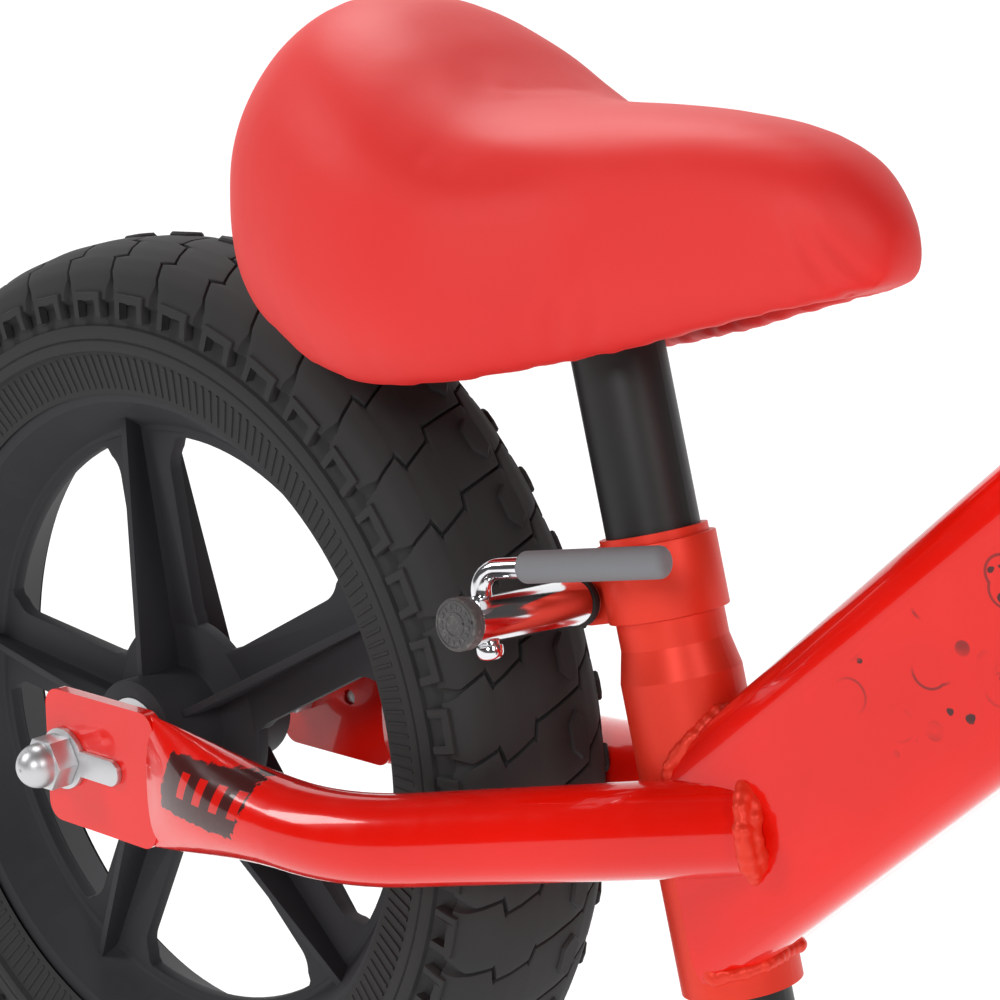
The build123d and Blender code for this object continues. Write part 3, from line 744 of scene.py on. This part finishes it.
# ------------------------------------------------------------------ tyre
# lateral shape of the tread from the near shoulder to the crown: (y, radius) in mm at rest radius 137
TREAD_SECTION = ((24.6, 116.5), (25.0, 121.0), (24.6, 125.0), (23.2, 129.0), (20.0, 132.2), (15.0, 134.8),
                 (9.0, 136.4), (4.0, 137.0), (0.0, 137.0))


def section_lengths():
    lengths = [0.0]
    for (y0, r0), (y1, r1) in zip(TREAD_SECTION, TREAD_SECTION[1:]):
        lengths.append(lengths[-1] + math.hypot(y1 - y0, r1 - r0))
    return lengths


SECTION_AT = section_lengths()
HALF_SECTION = SECTION_AT[-1]


def tread_point(t, v, height):
    """Point of the tread: t round the tyre, v across from the crown (negative on the right), height out."""
    from_shoulder = HALF_SECTION - abs(v)
    i = 1
    while i < len(SECTION_AT) - 1 and SECTION_AT[i] < from_shoulder:
        i += 1
    span = SECTION_AT[i] - SECTION_AT[i - 1]
    f = (from_shoulder - SECTION_AT[i - 1]) / span
    (y0, r0), (y1, r1) = TREAD_SECTION[i - 1], TREAD_SECTION[i]
    y, r = y0 + (y1 - y0) * f, r0 + (r1 - r0) * f
    normal = Vector((-(r0 - r1), y0 - y1)) / span
    y_out, r_out = y - normal.x * height * -1.0, r + normal.y * height
    side = -1.0 if v < 0 else 1.0
    crown = TREAD_SECTION[-1][1]
    scale = TYRE_RADIUS / (crown * MM)
    a = t / crown
    radius = r_out * MM * scale
    return Vector((radius * math.cos(a), side * y_out * MM, radius * math.sin(a)))


def tread_block(outline, depth, chamfer=0.45):
    """Three rings of a raised block whose outline is a list of (t, v), standing on the tread's surface."""
    centre_t = sum(t for t, v in outline) / len(outline)
    centre_v = sum(v for t, v in outline) / len(outline)

    def inset(amount):
        result = []
        for t, v in outline:
            dt, dv = centre_t - t, centre_v - v
            d = math.hypot(dt, dv) or 1.0
            result.append((t + dt / d * amount, v + dv / d * amount))
        return result

    levels = [(0.0, -1.6), (0.0, depth - chamfer), (chamfer, depth)]
    return [[tread_point(t, v, h) for t, v in inset(i)] for i, h in levels]


def dense(outline, step=2.4):
    """The outline with extra points, so that it follows the tyre's round section."""
    result = []
    for (t0, v0), (t1, v1) in zip(outline, outline[1:] + outline[:1]):
        n = max(1, math.ceil(math.hypot(t1 - t0, v1 - v0) / step))
        result += [(t0 + (t1 - t0) * i / n, v0 + (v1 - v0) * i / n) for i in range(n)]
    return result


def block_piece(name, outline, depth, chamfer=0.45):
    """A raised block as a closed mesh."""
    points, faces = skin(tread_block(dense(outline), depth, chamfer), closed=True, capped=True)
    return new_piece(name, points, faces)


# one edge of a tread block from shoulder to crown: (distance from the crown, t, half width of the groove)
GROOVE = ((34.8, 0.0, 2.3), (31.0, 0.0, 2.0), (28.2, 0.0, 1.1), (26.8, 0.3, 0.55), (20.4, 3.6, 0.5),
          (19.9, 3.0, 1.9), (19.1, 0.5, 1.9), (18.6, 0.0, 0.5), (10.4, 4.4, 0.5), (9.9, 5.0, 1.9),
          (9.1, 7.6, 1.9), (8.6, 8.2, 0.5), (0.0, 10.6, 0.5))


def groove_rows(step=2.0):
    """Rows across the whole tread: (v, t, half width), right shoulder first."""
    half = []
    for (v0, t0, w0), (v1, t1, w1) in zip(GROOVE, GROOVE[1:]):
        n = max(1, math.ceil(abs(v1 - v0) / step))
        half += [(v0 + (v1 - v0) * i / n, t0 + (t1 - t0) * i / n, w0 + (w1 - w0) * i / n) for i in range(n)]
    return [(-v, t, w) for v, t, w in half] + [GROOVE[-1]] + [(v, 2 * GROOVE[-1][1] - t, w)
                                                              for v, t, w in reversed(half)]


def tread_strip(pitch, depth):
    """The tread's skin over one pitch: a block with the groove before it."""
    rows = groove_rows()
    grid = []
    for number, (v, t, w) in enumerate(rows):
        sunk = 2.6 if number in (0, len(rows) - 1) else 0.0
        columns = [(-w, 0.0), (-0.6 * w, 0.75 * depth), (-0.3 * w, depth), (0.3 * w, depth),
                   (0.6 * w, 0.75 * depth), (w, 0.0), (w + 0.5, -0.12)]
        span = pitch - 2 * w - 1.0
        columns += [(w + 0.5 + span * i / 6, -0.12 - 0.1 * math.sin(math.pi * i / 6)) for i in range(1, 7)]
        columns += [(pitch - w, 0.0)]
        grid.append([tread_point(t + s, v, -max(d, sunk) if sunk else -d) for s, d in columns])
    points, faces = skin(grid, closed=False, capped=False)
    return new_piece("strip", points, faces)


def shoulder_frame(pitch, side):
    """Raised square arch on the side of the tyre, under the end of each block."""
    top = HALF_SECTION - 7.2
    bottom = HALF_SECTION - 0.4
    left, right, bar = pitch * 0.17, pitch * 0.84, 2.2
    arch = [(left, bottom), (left + 0.4, top), (right - 0.4, top), (right, bottom), (right - bar, bottom),
            (right - bar - 0.3, top + bar), (left + bar + 0.3, top + bar), (left + bar, bottom)]
    return [(t, side * v) for t, v in arch]


def pad_outline(t, v, half_length, half_width):
    """Elongated hexagon, its long axis round the tyre."""
    nose = half_width * 0.9
    return [(t - half_length, v), (t - half_length + nose, v - half_width), (t + half_length - nose, v - half_width),
            (t + half_length, v), (t + half_length - nose, v + half_width), (t - half_length + nose, v + half_width)]


def tread_cell(name, pitch, groove):
    """One pitch of the tread in front of the axle, ready to be repeated."""
    parts = [tread_strip(pitch, groove)]
    for side in (-1.0, 1.0):
        parts.append(block_piece("arch", shoulder_frame(pitch, side), 1.1, 0.3))
    parts.append(block_piece("pad", pad_outline(pitch * 0.5 + 11.6, 4.6, 6.2, 3.3), 1.2, 0.6))
    parts.append(block_piece("pad", pad_outline(pitch * 0.5 + 20.0, 24.0, 4.0, 2.4), 1.4, 0.5))
    cell = joined(name, parts)
    work = bmesh.new()
    work.from_mesh(cell.data)
    bmesh.ops.recalc_face_normals(work, faces=work.faces)
    bmesh.ops.triangulate(work, faces=[f for f in work.faces if len(f.verts) > 4], ngon_method="EAR_CLIP")
    work.to_mesh(cell.data)
    work.free()
    return cell


def carcass_profile(groove):
    """Closed (radius, y) profile of the tyre under its tread, with the bead's two rings."""
    half = [(100.2, 16.2), (96.4, 18.4), (95.4, 19.0), (96.0, 19.4), (107.0, 22.6), (107.6, 24.0), (109.0, 24.5),
            (110.3, 24.4), (110.7, 23.9), (111.1, 24.4), (113.3, 24.5), (114.4, 24.2), (114.9, 23.2)]
    for (y, r), at in zip(TREAD_SECTION, SECTION_AT):
        down = 1.0 + groove / MM
        if at == 0.0:
            continue
        half.append((r - down * (0.15 if at < 9.0 else 1.0), y - (down if at < 9.0 else down * 0.5)))
    outer = [(r * MM, max(y, 0.0) * MM) for r, y in half[:-1]]
    outer.append(((half[-1][0]) * MM, 0.0))
    mirrored = [(r, -y) for r, y in reversed(outer[:-1])]
    return outer + mirrored


def knurl(name, side):
    """One fine rib on the cone between rim and bead, in front of the axle."""
    low, high = (97.0, 19.6), (106.2, 22.4)
    half = 0.62
    rings = []
    for radius, y in (low, high):
        ring = []
        for width, rise in ((-half, -0.5), (-half * 0.55, 0.42), (half * 0.55, 0.42), (half, -0.5)):
            ring.append(Vector((radius * MM, side * (y + rise) * MM, width * MM)))
        rings.append(ring)
    points, faces = skin(rings)
    return face_out(new_piece(name, points, faces))


def moved(piece, offset):
    piece.data.transform(Matrix.Translation(offset))
    return piece


def make_tyre(end, axle):
    settings = bpy.context.scene.bike_tyre
    crown = TREAD_SECTION[-1][1]
    pitch = 2 * math.pi * crown / settings.lugs
    points, faces = turned_about_y(carcass_profile(settings.groove), axle, 220)
    carcass = face_out(new_piece("carcass", points, faces))
    cell = moved(tread_cell("cell", pitch, settings.groove / MM), axle)
    material = finish("foam_tyre")
    tread = grown(cell, ring_tree(), Count=settings.lugs, Axle=axle, Finish=material)
    ribs = [grown(moved(knurl("knurl", side), axle), ring_tree(), Count=settings.knurls, Axle=axle,
                  Finish=material) for side in (-1.0, 1.0)]
    tyre = face_out(joined(end + "_tyre_tread", [carcass, tread, *ribs]))
    return placed(tyre, end + "_wheel", "foam_tyre", nodes=(end + "_tyre",), angle=38.0)


class BIKE_OT_tyres(bpy.types.Operator):
    """Foam tyres with their tread, bead rings and fine ribs"""
    bl_idname = "bike.tyres"
    bl_label = "Tyres"

    def execute(self, context):
        make_tyre("rear", REAR_AXLE)
        make_tyre("front", FRONT_AXLE)
        return {"FINISHED"}


class BIKE_OT_rims(bpy.types.Operator):
    """Moulded wheels with rounded edges"""
    bl_idname = "bike.rims"
    bl_label = "Wheels"

    def execute(self, context):
        for end in ("rear", "front"):
            wheel_moulding(end)
        return {"FINISHED"}


# ------------------------------------------------------------------ saddle
# from the rear axle in mm: (x, half width, underside, top, sharpness of the shoulder)
SADDLE_STATIONS = (
    (52.0, 18.0, 146.0, 164.0, 2.0), (54.6, 25.0, 140.0, 170.0, 2.1), (58.6, 32.5, 134.0, 178.0, 2.2),
    (64.0, 39.5, 127.5, 185.0, 2.25), (72.0, 45.0, 121.5, 193.0, 2.3), (84.0, 49.5, 116.5, 199.0, 2.35),
    (97.0, 53.0, 112.5, 196.8, 2.4), (111.0, 54.5, 110.5, 189.5, 2.5), (123.0, 54.0, 110.8, 181.0, 2.55),
    (134.0, 51.0, 112.3, 175.0, 2.6), (147.0, 44.0, 115.0, 172.6, 2.7), (160.0, 36.5, 118.0, 172.3, 2.8),
    (175.0, 31.0, 122.0, 171.6, 2.9), (189.0, 26.5, 126.3, 170.3, 2.9), (202.0, 22.5, 129.8, 167.4, 2.8),
    (212.5, 18.3, 132.3, 162.6, 2.6), (219.0, 13.5, 134.4, 156.6, 2.4), (223.4, 9.0, 136.0, 150.2, 2.2),
    (225.2, 5.0, 138.0, 145.0, 2.0))


def smooth_row(rows, f):
    """Row at a fractional index, on a smooth curve through the rows."""
    i = min(int(f), len(rows) - 2)
    u = f - i
    a = rows[max(i - 1, 0)]
    b, c = rows[i], rows[i + 1]
    d = rows[min(i + 2, len(rows) - 1)]
    result = []
    for p0, p1, p2, p3 in zip(a, b, c, d):
        result.append(0.5 * (2 * p1 + (p2 - p0) * u + (2 * p0 - 5 * p1 + 4 * p2 - p3) * u * u
                             + (3 * p1 - p0 - 3 * p2 + p3) * u * u * u))
    return result


def ease(value, low, high):
    u = min(max((value - low) / (high - low), 0.0), 1.0)
    return u * u * (3 - 2 * u)


def saddle_ring(x, half, under, top, sharp):
    """Closed section of the pad at x: over the top, round the skirt and up into the hollow."""
    ring = []
    outer, inner = 52, 28
    middle_z = under + (top - under) * 0.42
    edge = math.radians(44.0)
    for i in range(outer):
        a = -edge + (math.pi + 2 * edge) * i / (outer - 1)
        c, s = math.cos(a), math.sin(a)
        n = sharp if s > 0 else 3.0
        y = half * math.copysign(abs(c) ** (2 / n), c)
        high = (top - middle_z) if s > 0 else (middle_z - under) / abs(math.sin(edge)) ** (2 / 3.0)
        ring.append((y, middle_z + high * math.copysign(abs(s) ** (2 / n), s)))
    depth = min(45.0, top - 14.0 - under) * ease(x, 78.0, 86.0) * (1.0 - ease(x, 203.0, 211.0))
    reach = half * 0.8 - min(6.0, half * 0.2)
    for i in range(inner):
        a = math.pi * i / (inner - 1)
        lid = math.sin(a) ** 0.35
        ring.append((-reach * math.copysign(abs(math.cos(a)) ** 0.5, math.cos(a)), under + 0.8 + depth * lid))
    axle = REAR_AXLE
    return [axle + Vector((x * MM, y * MM, z * MM)) for y, z in ring]


def saddle_shape():
    rings = []
    count = 72
    for i in range(count + 1):
        row = smooth_row(SADDLE_STATIONS, (len(SADDLE_STATIONS) - 1) * i / count)
        rings.append(saddle_ring(*row))
    points, faces = skin(rings)
    return face_out(new_piece("saddle_cover", points, faces))


def inflate(piece, pressure, most):
    """Cloth simulation of the cover over its filling; no point moves further than most."""
    before = [v.co.copy() for v in piece.data.vertices]
    cloth = piece.modifiers.new("Cloth", "CLOTH")
    settings = cloth.settings
    settings.quality = 6
    settings.mass = 0.35
    settings.tension_stiffness = 18.0
    settings.compression_stiffness = 18.0
    settings.shear_stiffness = 8.0
    settings.bending_stiffness = 1.5
    settings.use_pressure = True
    settings.uniform_pressure_force = pressure
    settings.effector_weights.gravity = 0.0
    cloth.collision_settings.use_collision = False
    cloth.point_cache.frame_start = 1
    cloth.point_cache.frame_end = 20
    scene = bpy.context.scene
    for number in range(1, 21):
        scene.frame_set(number)
    settled(piece)
    scene.frame_set(1)
    for vertex, old in zip(piece.data.vertices, before):
        shift = vertex.co - old
        if shift.length > most:
            vertex.co = old + shift.normalized() * most
    return piece


# places where the cover is pulled: (x, height, length, width, depth, lean) in mm from the rear axle
PUCKERS = ((160.0, 127.0, 11.0, 2.2, 0.75, 0.25), (167.0, 126.0, 9.0, 2.0, 0.6, 0.35),
           (152.0, 122.0, 8.0, 2.4, 0.4, 0.2), (214.0, 140.0, 9.0, 1.8, 0.9, -0.5),
           (219.0, 141.5, 8.0, 1.6, 0.8, -0.8), (208.0, 137.0, 7.0, 2.0, 0.5, -0.3),
           (120.0, 118.0, 9.0, 3.0, 0.35, 0.1), (96.0, 120.0, 10.0, 3.2, 0.3, -0.1))


def pucker(piece):
    """Short folds where the cover is pulled under its lower edge, and a soft unevenness over it."""
    for vertex in piece.data.vertices:
        place = vertex.co - REAR_AXLE
        x, y, z = place / MM
        sink = 0.0
        for at, height, length, width, depth, lean in PUCKERS:
            across = (x - at) - (z - height) * lean
            up = (z - height) / length
            sink += depth * math.exp(-(across / width) ** 2) * math.exp(-up * up) * (1 if abs(y) > 8 else 0)
        uneven = 0.28 * (noise.noise(place * 38.0) + 0.4 * noise.noise(place * 90.0))
        vertex.co += vertex.normal * (uneven - sink) * MM
    piece.data.update()


class BIKE_OT_saddle(bpy.types.Operator):
    """Padded saddle: vinyl cover pulled over foam"""
    bl_idname = "bike.saddle"
    bl_label = "Saddle"

    def execute(self, context):
        settings = context.scene.bike_saddle
        pad = saddle_shape()
        remesh = pad.modifiers.new("Remesh", "REMESH")
        remesh.mode = "VOXEL"
        remesh.voxel_size = 2.3 * MM
        remesh.use_smooth_shade = True
        settled(pad)
        relax = pad.modifiers.new("Smooth", "SMOOTH")
        relax.factor = 0.5
        relax.iterations = 9
        settled(pad)
        inflate(pad, settings.pressure, settings.swell)
        finer = pad.modifiers.new("Finer", "SUBSURF")
        finer.levels = 1
        finer.render_levels = 1
        settled(pad)
        pucker(pad)
        placed(pad, "saddle", "saddle_vinyl", nodes=("saddle_pad",), angle=80.0)
        return {"FINISHED"}


# ------------------------------------------------------------------ frame and its welds
def tree_of(nodes):
    """Search tree of several CAD nodes' surfaces."""
    points, faces = [], []
    for node in nodes:
        mesh = frame["nodes"][node].data
        base = len(points)
        points += [v.co.copy() for v in mesh.vertices]
        faces += [tuple(base + i for i in p.vertices) for p in mesh.polygons]
    return BVHTree.FromPolygons(points, faces)


def seam_line(starts, direction, nodes, reach=0.2):
    """Where straight lines from starts along direction first meet the nodes."""
    tree = tree_of(nodes)
    line = []
    for start in starts:
        hit, normal, index, distance = tree.ray_cast(start, direction, reach)
        if hit is not None:
            line.append(hit)
    return line


def ring_points(centre, direction, radius, count=72, squash=1.0):
    side = direction.cross(Vector((0, 0, 1))).normalized()
    up = side.cross(direction).normalized()
    return [centre + side * math.cos(2 * math.pi * i / count) * radius * squash
            + up * math.sin(2 * math.pi * i / count) * radius for i in range(count)]


def box_ring(centre, direction, half_width, half_height, corner, count=18):
    """Points round a rounded rectangle square to direction."""
    side = Vector((0, 1, 0))
    up = direction.cross(side).normalized()
    points = []
    for sy, sz, start in ((1, 1, 0), (-1, 1, 90), (-1, -1, 180), (1, -1, 270)):
        for i in range(count):
            a = math.radians(start + 90 * i / (count - 1))
            y = sy * (half_width - corner) + corner * math.cos(a)
            z = sz * (half_height - corner) + corner * math.sin(a)
            points.append(centre + side * y + up * z)
    return points


def weld(name, line, body, closed=True, seed=1):
    """A painted weld bead along a line."""
    settings = bpy.context.scene.bike_paint
    edges = [(i, i + 1) for i in range(len(line) - 1)]
    if closed:
        edges.append((len(line) - 1, 0))
    mesh = bpy.data.meshes.new(name)
    mesh.from_pydata([tuple(p) for p in line], edges, [])
    piece = bpy.data.objects.new(name, mesh)
    bpy.context.scene.collection.objects.link(piece)
    grown(piece, bead_tree(), Step=settings.step, Radius=settings.bead, Seed=seed,
          Finish=finish("frame_paint"))
    remesh = piece.modifiers.new("Fused", "REMESH")
    remesh.mode = "VOXEL"
    remesh.voxel_size = 0.55 * MM
    relax = piece.modifiers.new("Flowed", "SMOOTH")
    relax.factor = 0.5
    relax.iterations = 3
    settled(piece)
    return placed(piece, body, "frame_paint", angle=70.0)


MAIN_DIRECTION = Vector((math.cos(math.radians(44.0)), 0, math.sin(math.radians(44.0))))


class BIKE_OT_welds(bpy.types.Operator):
    """Weld beads where the frame's tubes meet"""
    bl_idname = "bike.welds"
    bl_label = "Welds"

    def execute(self, context):
        axle = REAR_AXLE
        for side, name in ((-1.0, "right_stay_weld"), (1.0, "left_stay_weld")):
            bend = axle + Vector((104.0, side * 44.35, 0)) * MM
            meet = axle + Vector((200.0, side * 10.0, 17.0)) * MM
            run = (meet - bend).normalized()
            line = [p for radius, back in ((9.6, 0.4), (11.8, 2.4)) for p in
                    ring_points(meet - run * back * MM, run, radius * MM) if side * p.y > 15.0 * MM]
            weld(name, line, "frame", closed=False, seed=3 if side < 0 else 5)
        centre = axle + Vector((222.0, 0, 40.7)) * MM
        starts = box_ring(centre, MAIN_DIRECTION, 17.0 * MM, 25.0 * MM, 11.0 * MM)
        line = seam_line(starts, -MAIN_DIRECTION, ("seat_tube",))
        if len(line) > 8:
            weld("main_tube_weld", line, "frame", closed=False, seed=8)
        ahead = STEER_POINT - MAIN_DIRECTION * 0.05
        line = seam_line(box_ring(ahead, MAIN_DIRECTION, 17.0 * MM, 25.0 * MM, 11.0 * MM), MAIN_DIRECTION,
                         ("head_tube",))
        if len(line) > 8:
            weld("head_tube_weld", line, "frame", closed=True, seed=9)
        return {"FINISHED"}


class BIKE_OT_tubes(bpy.types.Operator):
    """Frame and fork tubes: paint on the shapes of the frame, edges softened by the paint"""
    bl_idname = "bike.tubes"
    bl_label = "Tubes"

    def execute(self, context):
        plain = {
            "frame_paint": ("head_tube", "right_fork_blade", "left_fork_blade", "seat_tube"),
            "stay_paint": ("right_chainstay", "left_chainstay"),
            "main_tube_paint": ("main_tube",),
            "black_enamel": ("fork_steerer", "seat_post", "bar_post", "handlebar", "upper_headset_cup",
                             "lower_headset_cup", "crown_race", "saddle_clamp"),
            "zinc_plate": ("rear_bearings", "front_bearings", "rear_hub_spacer", "front_hub_spacer", "rear_axle",
                           "front_axle", "saddle_rails", "saddle_clamp_discs", "saddle_clamp_bolt",
                           "clamp_bolt"),
            "black_plastic": ("saddle_base",),
        }
        for material, nodes in plain.items():
            for node in nodes:
                mesh = frame["nodes"][node].data
                mesh.materials.clear()
                mesh.materials.append(finish(material))
        softened("fork_crown", 0.8 * MM, "frame_paint")
        softened("seat_clamp_band", 0.35 * MM, "frame_paint")
        softened("bar_clamp_collar", 0.4 * MM, "black_enamel")
        softened("headset_locknut", 0.5 * MM, "black_enamel")
        softened("seat_post_plug", 0.5 * MM, "black_plastic")
        return {"FINISHED"}


class BIKE_OT_fasteners(bpy.types.Operator):
    """Nuts, washers and bolts with broken edges"""
    bl_idname = "bike.fasteners"
    bl_label = "Fasteners"

    def execute(self, context):
        for end in ("rear", "front"):
            softened(end + "_cap_nuts", 0.45 * MM, "zinc_plate")
            softened(end + "_tab_washers", 0.25 * MM, "zinc_plate")
            softened(end + "_lock_nuts", 0.4 * MM, "zinc_plate")
            softened(end + "_axle_spacers", 0.3 * MM, "zinc_plate")
        softened("clamp_nut", 0.35 * MM, "zinc_plate")
        softened("clamp_washers", 0.2 * MM, "zinc_plate")
        softened("bar_clamp_bolt", 0.3 * MM, "zinc_plate")
        return {"FINISHED"}


def cap_marks():
    """Plain raised rings and ticks on the face of the end cap."""
    across = Vector((SEAT_AXIS.z, 0, -SEAT_AXIS.x))
    outward = across.cross(CAM_AXIS).normalized()
    face = CAM_POINT + outward * 10.1 * MM
    parts = []
    for radius in (5.2, 2.6):
        rings = []
        for i in range(49):
            a = 2 * math.pi * i / 48
            arm = across * math.cos(a) + CAM_AXIS * math.sin(a)
            rings.append([face + arm * (radius + dr) * MM + outward * h * MM
                          for dr, h in ((-0.3, -0.2), (-0.14, 0.22), (0.14, 0.22), (0.3, -0.2))])
        points, faces = skin(rings)
        parts.append(new_piece("ring", points, faces))
    for i in range(16):
        a = 2 * math.pi * (i + 0.3) / 16
        arm = across * math.cos(a) + CAM_AXIS * math.sin(a)
        side = arm.cross(outward)
        wide = 0.25 if i % 3 else 0.42
        rings = [[face + arm * r0 * MM + side * w * MM + outward * h * MM
                  for w, h in ((-wide, -0.2), (-wide, 0.16), (wide, 0.16), (wide, -0.2))] for r0 in (3.5, 4.5)]
        points, faces = skin(rings)
        parts.append(new_piece("tick", points, faces))
    marks = face_out(joined("end_cap_marks", parts))
    return placed(marks, "frame", "cap_plastic")


class BIKE_OT_quick_release(bpy.types.Operator):
    """Quick release: chromed barrel and lever, soft sleeve, end cap and rubber ring"""
    bl_idname = "bike.quick_release"
    bl_label = "Quick release"

    def execute(self, context):
        softened("lever_barrel", 0.3 * MM, "chrome_plate")
        softened("lever_rod", 0.3 * MM, "chrome_plate")
        softened("lever_sleeve", 0.2 * MM, "grey_plastic")
        softened("lever_end_cap", 0.3 * MM, "cap_plastic")
        softened("barrel_ring", 0.5 * MM, "black_rubber")
        cap_marks()
        return {"FINISHED"}


class BIKE_OT_grips(bpy.types.Operator):
    """Rubber grips"""
    bl_idname = "bike.grips"
    bl_label = "Grips"

    def execute(self, context):
        for side in ("left", "right"):
            softened(side + "_grip", 0.6 * MM, "black_rubber")
        return {"FINISHED"}


# ------------------------------------------------------------------ stage
def camera_turn(azimuth, elevation, roll):
    """Orientation of a camera that looks from azimuth degrees round from the bike's right side."""
    a, e = math.radians(azimuth), math.radians(elevation)
    back = Vector((math.sin(a) * math.cos(e), -math.cos(a) * math.cos(e), math.sin(e)))
    right = Vector((math.cos(a), math.sin(a), 0))
    up = back.cross(right)
    turn = Matrix((right, up, back)).transposed()
    return turn @ Matrix.Rotation(math.radians(roll), 3, "Z")


def area_light(name, place, target, size, power, tint=(1, 1, 1)):
    data = bpy.data.lights.new(name, "AREA")
    data.shape = "RECTANGLE"
    data.size, data.size_y = size
    data.energy = power
    data.color = tint
    light = bpy.data.objects.new(name, data)
    light.location = place
    light.rotation_euler = (Vector(target) - Vector(place)).to_track_quat("-Z", "Y").to_euler()
    bpy.context.scene.collection.objects.link(light)
    return light


class BIKE_OT_stage(bpy.types.Operator):
    """Pale floor and backdrop, soft light and the camera"""
    bl_idname = "bike.stage"
    bl_label = "Stage"

    def execute(self, context):
        settings = context.scene.bike_stage
        rings = []
        for i in range(13):
            a = math.radians(90.0 * i / 12)
            rings.append((6.0 + 2.0 * math.sin(a), 2.0 - 2.0 * math.cos(a)))
        profile = [(-9.0, 0.0), *rings, (8.0, 9.0)]
        points, faces = [], []
        turn = Matrix.Rotation(math.radians(40.0), 3, "Z")
        for y, z in profile:
            for x in (-12.0, 12.0):
                points.append(turn @ Vector((x, y, z)))
        for i in range(len(profile) - 1):
            faces.append((2 * i, 2 * i + 1, 2 * i + 3, 2 * i + 2))
        floor = new_piece("floor", points, faces)
        shade(floor, 60.0)
        pale = Finish("pale_floor", Roughness=0.9, Emission_Strength=1.0)
        tone = pale.cloud(3.0, 2.0).fade(0.3, 0.7)
        colour = pale.mixed(tone, tuple(settings.floor), tuple(c * 0.985 for c in settings.floor))
        pale.give(Base_Color=colour, Emission_Color=(1.0, 1.0, 1.0))
        floor.data.materials.append(pale.material)
        world = bpy.data.worlds.new("soft room")
        context.scene.world = world
        world.use_nodes = True
        world.node_tree.nodes["Background"].inputs["Color"].default_value = (1.0, 1.0, 1.0, 1.0)
        world.node_tree.nodes["Background"].inputs["Strength"].default_value = 0.07
        aim = (-0.15, 0.0, 0.25)
        area_light("high_soft", (-0.9, 0.5, 1.9), aim, (0.9, 0.5), 20.0)
        area_light("left_soft", (-1.6, -1.4, 1.5), aim, (0.5, 0.9), 17.0)
        area_light("front_soft", (0.9, -2.3, 1.2), aim, (0.6, 0.5), 20.0)
        area_light("right_soft", (1.9, -0.6, 1.3), aim, (0.5, 0.9), 12.0)
        camera = bpy.data.objects.new("camera", bpy.data.cameras.new("camera"))
        camera.data.lens = settings.lens
        camera.data.clip_start = 0.02
        camera.data.clip_end = 60.0
        camera.matrix_world = (Matrix.Translation(REAR_AXLE + Vector((439.6, -383.0, 177.7)) * MM)
                               @ camera_turn(40.31, 11.24, -0.28).to_4x4())
        context.scene.collection.objects.link(camera)
        context.scene.camera = camera
        context.scene.view_settings.view_transform = "Standard"
        return {"FINISHED"}


OPERATORS = (BIKE_OT_stage, BIKE_OT_tubes, BIKE_OT_fasteners, BIKE_OT_quick_release, BIKE_OT_rims, BIKE_OT_tyres,
             BIKE_OT_saddle, BIKE_OT_grips, BIKE_OT_welds)
SETTINGS = {"bike_tyre": TyreSettings, "bike_saddle": SaddleSettings, "bike_paint": PaintSettings,
            "bike_stage": StageSettings}


class BIKE_PT_panel(bpy.types.Panel):
    """The bike's pieces and their settings"""
    bl_idname = "BIKE_PT_panel"
    bl_label = "Balance bike"
    bl_space_type = "VIEW_3D"
    bl_region_type = "UI"
    bl_category = "Balance bike"

    def draw(self, context):
        for name, settings in SETTINGS.items():
            group = getattr(context.scene, name)
            box = self.layout.box()
            for label in settings.__annotations__:
                box.prop(group, label)
        for operator in OPERATORS:
            self.layout.operator(operator.bl_idname)


def register():
    for made in (*SETTINGS.values(), *OPERATORS, BIKE_PT_panel):
        bpy.utils.register_class(made)
    for name, settings in SETTINGS.items():
        setattr(bpy.types.Scene, name, bpy.props.PointerProperty(type=settings))


def unregister():
    for name in SETTINGS:
        delattr(bpy.types.Scene, name)
    for made in (BIKE_PT_panel, *reversed(OPERATORS), *SETTINGS.values()):
        bpy.utils.unregister_class(made)


def main():
    register()
    for operator in OPERATORS:
        space, name = operator.bl_idname.split(".")
        getattr(getattr(bpy.ops, space), name)()


if __name__ == "__main__":
    main()
